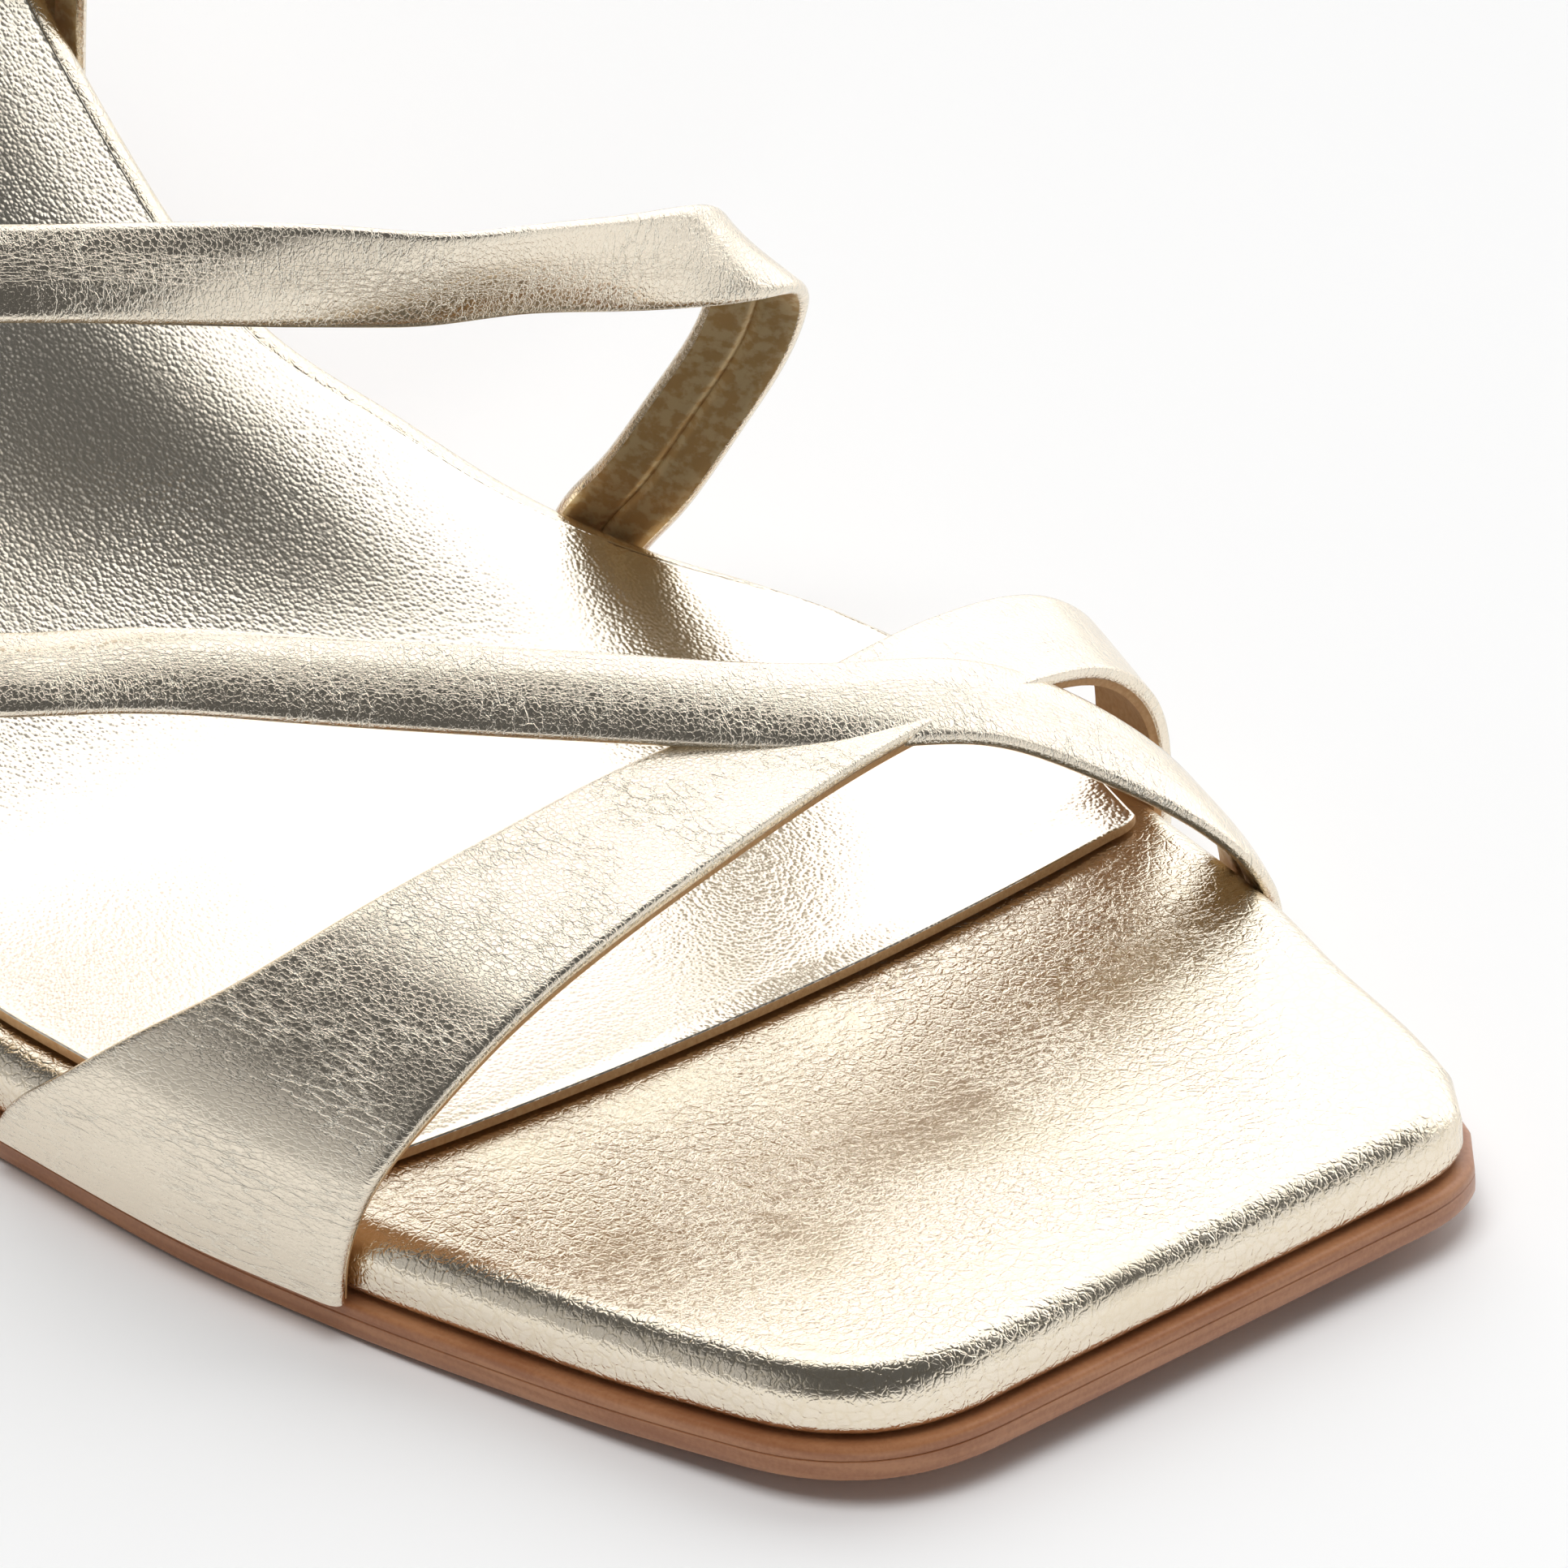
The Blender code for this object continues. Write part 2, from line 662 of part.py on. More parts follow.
def foot_strap_line(rows, thick, count):
    """Middle line of a narrow strap over the foot and the direction it faces."""
    rows = np.asarray(rows, float)
    weights = gaps_between(foot_place(rows[:, 0], rows[:, 1], rows[:, 2], thick))
    fine = through(rows, weights, 600)
    line = foot_place(fine[:, 0], fine[:, 1], fine[:, 2], thick)
    ahead = 0.5
    further = fine[:, 0] + ahead * MM / INSOLE_LENGTH
    beyond = foot_place(further, fine[:, 1], fine[:, 2] + fine[:, 3] * ahead, thick)
    tangent = unit(np.gradient(line, axis=0))
    faces = unit(np.cross(beyond - line, tangent))
    if faces[0, 1] * (rows[0, 1]) < 0:
        faces = -faces
    both = even(np.concatenate((line, faces), axis=1) * np.array([1, 1, 1, 1e-6, 1e-6, 1e-6]), count)
    return both[:, :3], unit(both[:, 3:])


def ribbon(name, line, faces, width, thick, finish, section=STRAP_SECTION, foot=None):
    """Closed strap swept along a line, its face held toward the given directions.

    The foot, where given, is the direction in which the first end is cut.
    """
    tangent = unit(np.gradient(line, axis=0))
    normal = unit(faces - np.sum(faces * tangent, axis=1)[:, None] * tangent)
    side = np.cross(tangent, normal)
    if foot is not None:
        foot = foot * np.sign(foot @ side[0])
        length = np.concatenate(([0], np.cumsum(gaps_between(line))))
        share = np.clip(1 - length / (9 * MM), 0, 1) ** 1.5
        slant = np.sum(foot * tangent, axis=1) / np.maximum(np.sum(foot * side, axis=1), 0.3)
        side = side + tangent * (slant * share)[:, None]
    width = np.broadcast_to(width, (len(line),))
    points = []
    for u, v in section:
        points.append(line + side * (u * width / 2)[:, None] + normal * v * thick / 2)
    return swept(name, np.stack(points, axis=1), finish)


def swept(name, rings, finish, closed=False):
    count, around = rings.shape[:2]
    faces = []
    for i in range(count if closed else count - 1):
        for j in range(around):
            a, b = i * around + j, i * around + (j + 1) % around
            c, d = (i + 1) % count * around + (j + 1) % around, (i + 1) % count * around + j
            faces.append((a, b, c, d))
    if not closed:
        faces.append(tuple(range(around)))
        faces.append(tuple(range((count - 1) * around, count * around)))
    return solid(name, rings.reshape(-1, 3), faces, finish)


def joined(keep, other):
    """Both solids as one."""
    union = keep.modifiers.new("join", "BOOLEAN")
    union.operation = "UNION"
    union.solver = "EXACT"
    union.object = other
    return applied(keep, other)


def cut_from(keep, cutter):
    cut = keep.modifiers.new("cut", "BOOLEAN")
    cut.operation = "DIFFERENCE"
    cut.solver = "EXACT"
    cut.object = cutter
    return applied(keep, cutter)


def applied(keep, used):
    bpy.context.view_layer.update()
    graph = bpy.context.evaluated_depsgraph_get()
    done = bpy.data.meshes.new_from_object(keep.evaluated_get(graph))
    keep.modifiers.clear()
    keep.data = done
    bpy.data.objects.remove(used, do_unlink=True)
    return keep


def make_vamp_straps():
    rows = np.asarray(WIDE_STRAP, float)
    front, rear = rows[:, :3], rows[:, 3:]
    middle = (front + rear) / 2
    weights = gaps_between(foot_place(middle[:, 0], middle[:, 1], middle[:, 2], WIDE_STRAP_THICK))
    fine = through(rows, weights, 600)
    middle = (fine[:, :3] + fine[:, 3:]) / 2
    line = foot_place(middle[:, 0], middle[:, 1], middle[:, 2], WIDE_STRAP_THICK)
    length = np.concatenate(([0], np.cumsum(gaps_between(line))))
    at = np.linspace(0, length[-1], 40)
    fine = np.stack([np.interp(at, length, fine[:, k]) for k in range(6)], axis=-1)
    shown = {}
    for u in sorted({u for u, _ in WIDE_SECTION}):
        mixed = fine[:, :3] * (1 - u) / 2 + fine[:, 3:] * (1 + u) / 2
        shown[u] = foot_place(mixed[:, 0], mixed[:, 1], mixed[:, 2], WIDE_STRAP_THICK)
    tangent = unit(np.gradient(shown[0.17], axis=0))
    normal = unit(np.cross(shown[1.0] - shown[-1.0], tangent))
    if normal[0, 1] > 0:
        normal = -normal
    rings = np.stack([shown[u] + normal * v * WIDE_STRAP_THICK / 2 for u, v in WIDE_SECTION], axis=1)
    wide = swept("vamp_straps", rings, "metallic leather")

    line, faces = foot_strap_line(CROSSING_STRAP, STRAP_THICK, 54)
    crossing = ribbon("crossing_strap", line, faces, STRAP_WIDTH, STRAP_THICK, "metallic leather")
    return joined(wide, crossing)


def make_instep_strap():
    line, faces = foot_strap_line(INSTEP_STRAP, STRAP_THICK, 66)
    return ribbon("instep_strap", line, faces, STRAP_WIDTH, STRAP_THICK, "metallic leather")


def seat_back():
    return bend(INSOLE_LENGTH, 0.0, BOARD_TOP)


def anchor(along, across, thick, heights=(-5.0, -1.5, 2.5)):
    """Places up the side wall of the board for a strap that leans back, with the wall's outward direction."""
    heights = np.asarray(heights, float)
    alongs = along + (heights - heights[0]) * MM * ANCHOR_LEAN / INSOLE_LENGTH
    acrosses = np.full(len(heights), float(across))
    here = foot_place(alongs, acrosses, heights, thick)
    ahead = foot_place(alongs + 0.01, acrosses, heights, thick)
    upward = foot_place(alongs, acrosses, heights + 10.0, thick)
    out = unit(np.cross(ahead - here, upward - here))
    return here, out * np.sign(out[:, 1:2]) * np.sign(across), unit(ahead - here)[0]


def buckle_frame_axes():
    """Middle of the buckle bar, then the directions up the strap, across it and out of it."""
    bar = seat_back() + np.array(BUCKLE_AT) * MM
    up = unit(np.array(BUCKLE_LINE, float))
    out = np.array([0.0, -1.0, 0.0])
    out = unit(out - up * (out @ up))
    return bar, up, np.cross(up, out), out


def in_buckle(points):
    """Places given up the strap, across it and out of it, from the middle of the bar."""
    bar, up, across, out = buckle_frame_axes()
    points = np.asarray(points, float)
    return bar + points[:, :1] * up + points[:, 1:2] * across + points[:, 2:] * out


def lateral_levels():
    """Heights out of the bar's middle: buckle strap, back strap's tip over it, back strap under the frame."""
    fold = WIRE_RADIUS + GAP + BUCKLE_STRAP_THICK / 2
    over = fold + BUCKLE_STRAP_THICK / 2 + GAP + BACK_STRAP_THICK / 2
    under = FRAME_LIFT - WIRE_RADIUS - GAP - BACK_STRAP_THICK / 2
    return fold, over, under


def outward_from_ankle(place):
    """Level direction away from the foot: sideways beside the foot, backward behind the heel."""
    forward = (place - seat_back())[0]
    ahead = np.clip((forward - 30 * MM) / (40 * MM), 0, 1)
    out = (place - seat_back()) * np.array([1, 1, 0]) - np.array([26 * MM, 0, 0])
    return unit(unit(out) * (1 - ahead) + np.array([0, np.sign(place[1]), 0]) * ahead)


def make_back_strap():
    fold, over, under = lateral_levels()
    foot, foot_out, foot_cut = anchor(INNER_ANCHOR, 1.0, BACK_STRAP_THICK)
    rows = seat_back() + np.array(BACK_STRAP, float) * MM
    rows_out = np.array([outward_from_ankle(row) for row in rows])
    down = [
        (FRAME_LENGTH + 14 * MM, 0, under - 0.6 * MM),
        (FRAME_LENGTH + 4 * MM, 0, under),
        (FRAME_LENGTH, 0, under),
        (2.5 * MM, 0, over - 0.15 * MM),
        (-2.0 * MM, 0, over),
        (-10 * MM, 0, over),
        (-20 * MM, 0, over),
        (-TIP_LENGTH, 0, over),
    ]
    down = in_buckle(down)
    out = buckle_frame_axes()[3]
    controls = np.concatenate((foot, rows, down))
    outs = np.concatenate((foot_out, unit(rows_out), np.tile(out, (len(down), 1))))
    weights = gaps_between(controls)
    line = through(controls, weights, 900)
    outs = unit(through(outs, weights, 900))
    both = even(np.concatenate((line, outs * 1e-6), axis=1), 76)
    line, outs = both[:, :3], unit(both[:, 3:])
    width = np.full(len(line), BACK_STRAP_WIDTH)
    width[-1] *= 0.45
    width[-2] *= 0.85
    strap = ribbon("back_strap", line, outs, width, BACK_STRAP_THICK, "metallic leather", foot=foot_cut)
    hole = box(in_buckle, (1.6 * MM, 6.8 * MM), (-1.0 * MM, 1.0 * MM), (-4 * MM, 8 * MM))
    return cut_from(strap, hole)


def box(placed, first, second, third):
    corners = [(a, b, c) for a in first for b in second for c in third]
    faces = [(0, 1, 3, 2), (4, 6, 7, 5), (0, 4, 5, 1), (2, 3, 7, 6), (0, 2, 6, 4), (1, 5, 7, 3)]
    made = solid("cutter", placed(corners), faces, "pale metal")
    made.hide_render = True
    made.display_type = "WIRE"
    return made


def make_buckle_strap():
    fold, _, _ = lateral_levels()
    foot, foot_out, foot_cut = anchor(OUTER_ANCHOR, -1.0, BUCKLE_STRAP_THICK)
    rows = seat_back() + np.array(BUCKLE_STRAP, float) * MM
    rows_out = np.array([outward_from_ankle(row) for row in rows])
    angles = np.linspace(math.pi / 2, -math.pi / 2, 9)
    turn = [(fold * math.cos(a), 0, fold * math.sin(a)) for a in angles]
    path = [(-29 * MM, 0, fold), (-19 * MM, 0, fold), (-9 * MM, 0, fold), (-4 * MM, 0, fold)] + turn
    path += [(-4 * MM, 0, -fold), (-9 * MM, 0, -fold)]
    bar, up, across, out = buckle_frame_axes()
    outs = [out] * 4 + [math.sin(a) * out + math.cos(a) * up for a in angles] + [-out] * 2
    controls = np.concatenate((foot, rows, in_buckle(path)))
    outs = np.concatenate((foot_out, rows_out, np.array(outs)))
    weights = gaps_between(controls)
    line = through(controls, weights, 900)
    outs = unit(through(outs, weights, 900))
    near = np.linalg.norm(line - bar, axis=1) < 2.2 * fold
    pace = np.concatenate(([0], np.cumsum(gaps_between(line) * np.where(near[1:], 3.5, 1.0))))
    at = np.linspace(0, pace[-1], 44)
    line = np.stack([np.interp(at, pace, line[:, k]) for k in range(3)], axis=-1)
    outs = unit(np.stack([np.interp(at, pace, outs[:, k]) for k in range(3)], axis=-1))
    size = (BUCKLE_STRAP_WIDTH, BUCKLE_STRAP_THICK)
    strap = ribbon("buckle_strap", line, outs, *size, "metallic leather", foot=foot_cut)
    slot = box(in_buckle, (-3.0 * MM, 6 * MM), (-1.1 * MM, 1.1 * MM), (-4 * MM, 5 * MM))
    return cut_from(strap, slot)


def tube(name, line, radius, finish, sides=8, closed=False):
    """Round bar along a line."""
    if closed:
        tangent = unit(np.roll(line, -1, axis=0) - np.roll(line, 1, axis=0))
    else:
        tangent = unit(np.gradient(line, axis=0))
    across = buckle_frame_axes()[2 if not closed else 3]
    normal = unit(across - np.sum(tangent * across, axis=1)[:, None] * tangent)
    side = np.cross(tangent, normal)
    rings = []
    for k in range(sides):
        angle = 2 * math.pi * k / sides
        rings.append(line + radius * (math.cos(angle) * normal + math.sin(angle) * side))
    return swept(name, np.stack(rings, axis=1), finish, closed)


def make_frame():
    """Rectangular wire frame, its bar in the fold of the buckle strap and its far rod over the back strap."""
    half = FRAME_OPENING / 2 + WIRE_RADIUS
    corner = 1.8 * MM
    flat = []
    for middle_s, middle_w, start in (
        (FRAME_LENGTH - corner, half - corner, 0),
        (corner, half - corner, 90),
        (corner, -half + corner, 180),
        (FRAME_LENGTH - corner, -half + corner, 270),
    ):
        for k in range(5):
            angle = math.radians(start + 90 * k / 4)
            flat.append((middle_s + corner * math.cos(angle), middle_w + corner * math.sin(angle)))
        if start in (0, 180):
            toward_end = 1 if start == 0 else -1
            flat.append((FRAME_LENGTH / 2, toward_end * half))
    points = [(s, w, FRAME_LIFT * max(0.0, s / FRAME_LENGTH) ** 1.5) for s, w in flat]
    return tube("buckle_frame", in_buckle(points), WIRE_RADIUS, "pale metal", 8, True)


def make_prong():
    """Prong looped round the bar, out through the back strap and over the far rod."""
    hold = WIRE_RADIUS + GAP + PRONG_RADIUS
    angles = np.radians(np.linspace(-200, 60, 14))
    path = [(hold * math.cos(a), 0, hold * math.sin(a)) for a in angles]
    rest = FRAME_LIFT + WIRE_RADIUS + GAP + PRONG_RADIUS
    path += [(2.6 * MM, 0, 2.0 * MM), (4.6 * MM, 0, rest - 0.4 * MM), (7.0 * MM, 0, rest + 0.2 * MM)]
    path += [(FRAME_LENGTH, 0, rest + 0.1 * MM), (FRAME_LENGTH + 1.8 * MM, 0, rest - 0.2 * MM)]
    path = np.array(path)
    line = even(through(path, gaps_between(path), 300), 30)
    return tube("buckle_prong", in_buckle(line), PRONG_RADIUS, "pale metal", 6)


def make_keeper():
    """Leather loop round the buckle strap and the tip of the back strap."""
    fold, over, _ = lateral_levels()
    low = fold - BUCKLE_STRAP_THICK / 2 - GAP - KEEPER_THICK / 2
    high = over + BACK_STRAP_THICK / 2 + GAP + KEEPER_THICK / 2
    half = BACK_STRAP_WIDTH / 2 + GAP + KEEPER_THICK / 2
    corner = 0.9 * MM
    rings = []
    for middle_w, middle_n, start in (
        (half - corner, high - corner, 0),
        (-half + corner, high - corner, 90),
        (-half + corner, low + corner, 180),
        (half - corner, low + corner, 270),
    ):
        for k in range(4):
            angle = math.radians(start + 30 * k)
            out_w, out_n = math.cos(angle), math.sin(angle)
            ring = []
            for along, away in (
                (-0.5, 0.35),
                (-0.42, 0.5),
                (0.42, 0.5),
                (0.5, 0.35),
                (0.5, -0.5),
                (-0.5, -0.5),
            ):
                reach = corner + away * KEEPER_THICK
                place = (
                    -KEEPER_BELOW_BAR + along * KEEPER_WIDTH,
                    middle_w + reach * out_w,
                    middle_n + reach * out_n,
                )
                ring.append(place)
            rings.append(in_buckle(ring))
    return swept("keeper", np.array(rings), "metallic leather", True)


def centre_on_origin():
    """Puts the middle of the shoe's footprint over the origin, with the tread on the floor."""
    bpy.context.view_layer.update()
    items = [item for item in bpy.context.scene.objects if item.type == "MESH"]
    places = np.concatenate([np.array([v.co[:] for v in item.data.vertices]) for item in items])
    low, high = places.min(axis=0), places.max(axis=0)
    shift = np.array([(low[0] + high[0]) / 2, (low[1] + high[1]) / 2, low[2]])
    for item in items:
        for vertex in item.data.vertices:
            vertex.co = tuple(np.array(vertex.co[:]) - shift)
        item.data.update()


def build():
    for item in list(bpy.data.objects):
        bpy.data.objects.remove(item, do_unlink=True)
    make_outsole()
    make_board()
    make_sock()
    make_heel()
    make_vamp_straps()
    make_instep_strap()
    make_back_strap()
    make_buckle_strap()
    make_frame()
    make_prong()
    make_keeper()
    centre_on_origin()


build()
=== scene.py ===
"""Looks of the strappy heeled sandal, right shoe.

The leather pieces are drawn again as a shoemaker cuts and folds them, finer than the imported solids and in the
same place. A place on the sole is given by how far it lies behind the toe edge, measured along the sole, how
far it lies to the inner side and how high it stands over the underside of the sole.
"""

import math

import bmesh
import bpy
import numpy as np
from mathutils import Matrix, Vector


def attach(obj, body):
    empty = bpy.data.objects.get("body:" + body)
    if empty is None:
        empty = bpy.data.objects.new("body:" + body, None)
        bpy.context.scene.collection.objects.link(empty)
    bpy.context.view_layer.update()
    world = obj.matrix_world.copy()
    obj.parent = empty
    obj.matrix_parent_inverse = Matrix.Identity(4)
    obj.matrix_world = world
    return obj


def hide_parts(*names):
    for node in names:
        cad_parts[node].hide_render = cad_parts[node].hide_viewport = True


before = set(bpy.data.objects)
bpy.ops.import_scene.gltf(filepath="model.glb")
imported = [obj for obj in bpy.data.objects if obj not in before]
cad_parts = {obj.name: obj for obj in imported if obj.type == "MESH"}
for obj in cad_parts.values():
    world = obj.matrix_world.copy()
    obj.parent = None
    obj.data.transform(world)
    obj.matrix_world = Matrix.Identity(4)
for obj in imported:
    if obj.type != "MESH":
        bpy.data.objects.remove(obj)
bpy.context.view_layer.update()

MM = 0.001

# sizes of the shoe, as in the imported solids
INSOLE_LENGTH = 250 * MM
BALL_WIDTH = 84 * MM
HEEL_RISE = 82 * MM
OUTSOLE_THICK = 2.6 * MM
BOARD_THICK = 5.0 * MM
SOCK_THICK = 0.8 * MM
GAP = 0.3 * MM
WELT = 0.8 * MM
BOARD_TOP_ROUND = 2.5 * MM
BOARD_FOOT_ROUND = 1.0 * MM
SOCK_MARGIN = 2.9 * MM
SEAT_START = 197 * MM
OUTSOLE_SHORT = 1.6 * MM
CUP_REACH = 25 * MM
TOP_PIECE_LENGTH = 11.5 * MM
TOP_PIECE_WIDTH = 11.0 * MM
TOP_PIECE_THICK = 5.5 * MM
HEEL_TIP_BEHIND_TOE = 212.5 * MM
WIDE_STRAP_THICK = 1.6 * MM
STRAP_WIDTH = 7.2 * MM
STRAP_THICK = 1.8 * MM
BACK_STRAP_WIDTH = 6.6 * MM
BACK_STRAP_THICK = 1.4 * MM
BUCKLE_STRAP_WIDTH = 6.0 * MM
BUCKLE_STRAP_THICK = 1.2 * MM
WALL_CLEARANCE = 0.35 * MM
WIRE_RADIUS = 0.75 * MM
PRONG_RADIUS = 0.5 * MM
FRAME_LENGTH = 9.5 * MM
FRAME_OPENING = 7.6 * MM
FRAME_LIFT = 2.4 * MM
TIP_LENGTH = 26 * MM
KEEPER_WIDTH = 4.0 * MM
KEEPER_THICK = 0.8 * MM
KEEPER_BELOW_BAR = 14 * MM
# only the drawn pieces have these: the sole's rounded edges, the line pressed round it, and the reach
# along a narrow strap over which its bends and the turn of its face are eased
SOLE_EDGE_ROUND = 0.5 * MM
SOLE_LINE_DEPTH = 0.09 * MM
LINE_EASE = 1.8 * MM
FACE_EASE = 7.5 * MM
# heights over the underside of the sole
BOARD_FOOT = OUTSOLE_THICK + GAP
BOARD_TOP = BOARD_FOOT + BOARD_THICK
SOCK_FOOT = BOARD_TOP + GAP
SOCK_TOP = SOCK_FOOT + SOCK_THICK
# middle of the footprint, measured from the toe edge of the board
FOOTPRINT_MIDDLE = np.array([-111.3776, 3.6336, 0.0]) * MM

# along: share of the insole length; base: slope that stays, raised: slope that grows with the heel, degrees
SLOPE = (
    (0.00, -4.5, 0), (0.08, -3.5, 0), (0.16, -1.0, 0), (0.21, 0.0, 0), (0.29, 0.0, 0), (0.36, 0.0, 14),
    (0.43, 0.0, 30), (0.50, 0.0, 40), (0.58, 0.0, 43), (0.68, 0.0, 38), (0.78, 0.0, 27), (0.88, 0.0, 18),
    (1.00, 0.0, 15),
)
# along: share of the insole length; inner, outer: edges of the board as shares of the ball width
EDGES = (
    (0.000, 0.389, -0.256), (0.040, 0.434, -0.296), (0.080, 0.464, -0.333), (0.120, 0.498, -0.363),
    (0.172, 0.521, -0.400), (0.228, 0.540, -0.430), (0.280, 0.548, -0.441), (0.310, 0.538, -0.446),
    (0.340, 0.507, -0.447), (0.372, 0.451, -0.443), (0.412, 0.387, -0.424), (0.452, 0.330, -0.392),
    (0.500, 0.256, -0.350), (0.545, 0.228, -0.315), (0.600, 0.223, -0.287), (0.660, 0.238, -0.278),
    (0.720, 0.259, -0.286), (0.790, 0.288, -0.306), (0.860, 0.304, -0.318), (0.900, 0.305, -0.317),
)
SEAT_ROUND_FROM = 0.888
# along: share of the insole length; lift: how far the sole turns up at the cup reach, mm
CUP = (
    (0.00, 0.0), (0.30, 0.0), (0.42, 0.3), (0.52, 1.2), (0.66, 1.7), (0.85, 1.9), (1.00, 1.9),
)
# wide strap, front then rear edge: along share, across share, height over the board in mm
WIDE_STRAP = (
    (0.164, -1.00, -5.0, 0.292, -1.00, -5.0), (0.163, -1.00, -2.0, 0.285, -1.00, -2.0),
    (0.160, -0.99, 1.6, 0.270, -0.99, 1.6), (0.155, -0.96, 5.6, 0.250, -0.95, 6.2),
    (0.152, -0.87, 9.0, 0.231, -0.85, 10.2), (0.151, -0.72, 12.4, 0.218, -0.68, 13.9),
    (0.152, -0.45, 15.6, 0.208, -0.42, 16.9), (0.156, -0.16, 17.0, 0.203, -0.15, 18.4),
    (0.162, 0.12, 17.4, 0.200, 0.12, 18.6), (0.168, 0.42, 16.8, 0.206, 0.42, 17.8),
    (0.174, 0.68, 14.6, 0.212, 0.68, 16.0), (0.179, 0.87, 11.2, 0.213, 0.88, 13.0),
    (0.181, 0.97, 6.6, 0.211, 0.98, 8.2), (0.181, 1.00, 0.0, 0.210, 1.00, 0.0),
    (0.181, 1.00, -5.0, 0.210, 1.00, -5.0),
)
# narrow straps: along share, across share, height over the board in mm, lean of the face
CROSSING_STRAP = (
    (0.139, 1.00, -5.0, 0.0),
    (0.139, 1.00, -2.6, 0.0),
    (0.138, 0.972, 0.2, 0.0),
    (0.140, 0.915, 3.6, 0.3),
    (0.148, 0.83, 7.4, 0.6),
    (0.161, 0.69, 12.0, 0.7),
    (0.172, 0.50, 16.6, 0.55),
    (0.182, 0.28, 18.9, 0.45),
    (0.214, -0.04, 21.4, 0.45),
    (0.270, -0.42, 23.3, 0.32),
    (0.330, -0.70, 23.8, 0.08),
    (0.382, -0.88, 22.4, -0.13),
    (0.424, -0.98, 16.8, -0.14),
    (0.449, -1.02, 8.4, -0.06),
    (0.460, -1.01, 1.0, 0.0),
    (0.463, -1.00, -5.0, 0.0),
)
INSTEP_STRAP = (
    (0.392, 1.00, -4.8, 0.0), (0.392, 1.00, -2.4, 0.0), (0.387, 1.001, 1.6, 0.0), (0.381, 1.011, 8.0, 0.0),
    (0.375, 1.025, 14.7, 0.05), (0.368, 1.017, 20.9, 0.08), (0.365, 0.997, 26.5, 0.28),
    (0.357, 0.884, 30.7, 0.52), (0.369, 0.680, 33.9, 0.82), (0.393, 0.450, 37.4, 0.74),
    (0.445, 0.190, 38.7, 0.38), (0.487, -0.180, 39.2, 0.10), (0.515, -0.620, 36.6, -0.15),
    (0.545, -0.98, 29.0, -0.2), (0.570, -1.10, 20.0, -0.1), (0.588, -1.08, 11.0, 0.0),
    (0.597, -1.01, 3.0, 0.0), (0.599, -1.00, -2.0, 0.0), (0.599, -1.00, -5.0, 0.0),
)
INNER_ANCHOR = 0.600
OUTER_ANCHOR = 0.640
ANCHOR_LEAN = 0.85
# back strap, forward, side and up from the back of the seat, mm
BACK_STRAP = (
    (86.0, 23.5, -24.0), (83.0, 28.0, -6.0), (74.0, 31.5, 14.0), (58.0, 32.0, 34.0), (36.0, 29.5, 51.0),
    (15.0, 22.0, 61.0), (2.5, 6.5, 64.0), (3.0, -11.0, 62.5), (13.0, -25.0, 55.0),
)
BUCKLE_STRAP = ((75.5, -28.5, -21.0),)
BUCKLE_AT = (45.0, -34.5, 20.0)
BUCKLE_LINE = (-0.66, -0.06, 0.75)


# shape of the sole

def smooth_table(shares, values, at):
    """Smooth curve through a table that never overshoots it."""
    shares = np.asarray(shares, float)
    values = np.asarray(values, float)
    at = np.asarray(at, float)
    step = np.diff(shares)
    rise = np.diff(values) / step
    slope = np.zeros(len(shares))
    slope[0] = rise[0]
    slope[-1] = rise[-1]
    for i in range(1, len(shares) - 1):
        if rise[i - 1] * rise[i] > 0:
            before = 2 * step[i] + step[i - 1]
            after = step[i] + 2 * step[i - 1]
            slope[i] = (before + after) / (before / rise[i - 1] + after / rise[i])
    i = np.clip(np.searchsorted(shares, at) - 1, 0, len(shares) - 2)
    t = (at - shares[i]) / step[i]
    start = values[i] * (2 * t**3 - 3 * t**2 + 1) + step[i] * slope[i] * (t**3 - 2 * t**2 + t)
    end = values[i + 1] * (3 * t**2 - 2 * t**3) + step[i] * slope[i + 1] * (t**3 - t**2)
    return start + end


def column(table, k):
    return [row[k] for row in table]


def side_profile(samples=501):
    share = np.linspace(0, 1, samples)
    base = smooth_table(column(SLOPE, 0), column(SLOPE, 1), share)
    raised = smooth_table(column(SLOPE, 0), column(SLOPE, 2), share)
    step = INSOLE_LENGTH / (samples - 1)

    def bent(scale):
        slope = np.radians(base + scale * raised)
        middle = (slope[1:] + slope[:-1]) / 2
        forward = np.concatenate(([0], np.cumsum(-np.cos(middle)) * step))
        height = np.concatenate(([0], np.cumsum(np.sin(middle)) * step))
        return slope, forward, height - height.min()

    low, high = 0.2, 2.2
    for _ in range(50):
        scale = (low + high) / 2
        if bent(scale)[2][-1] > HEEL_RISE:
            high = scale
        else:
            low = scale
    return (share * INSOLE_LENGTH,) + bent(scale)


PROFILE = side_profile()


def bend(along, inward, height):
    """Flat pattern to the bent shoe."""
    along, inward, height = np.broadcast_arrays(*(np.asarray(v, float) for v in (along, inward, height)))
    stations, slope, forward, up = PROFILE
    angle = np.interp(along, stations, slope)
    past = np.minimum(along, 0) + np.maximum(along - INSOLE_LENGTH, 0)
    x = np.interp(along, stations, forward) - past * np.cos(angle)
    z = np.interp(along, stations, up) + past * np.sin(angle)
    lift = smooth_table(column(CUP, 0), column(CUP, 1), np.clip(along / INSOLE_LENGTH, 0, 1)) * MM
    height = height + lift * (inward / CUP_REACH) ** 2
    bent = np.stack([x + height * np.sin(angle), inward, z + height * np.cos(angle)], axis=-1)
    return bent - FOOTPRINT_MIDDLE


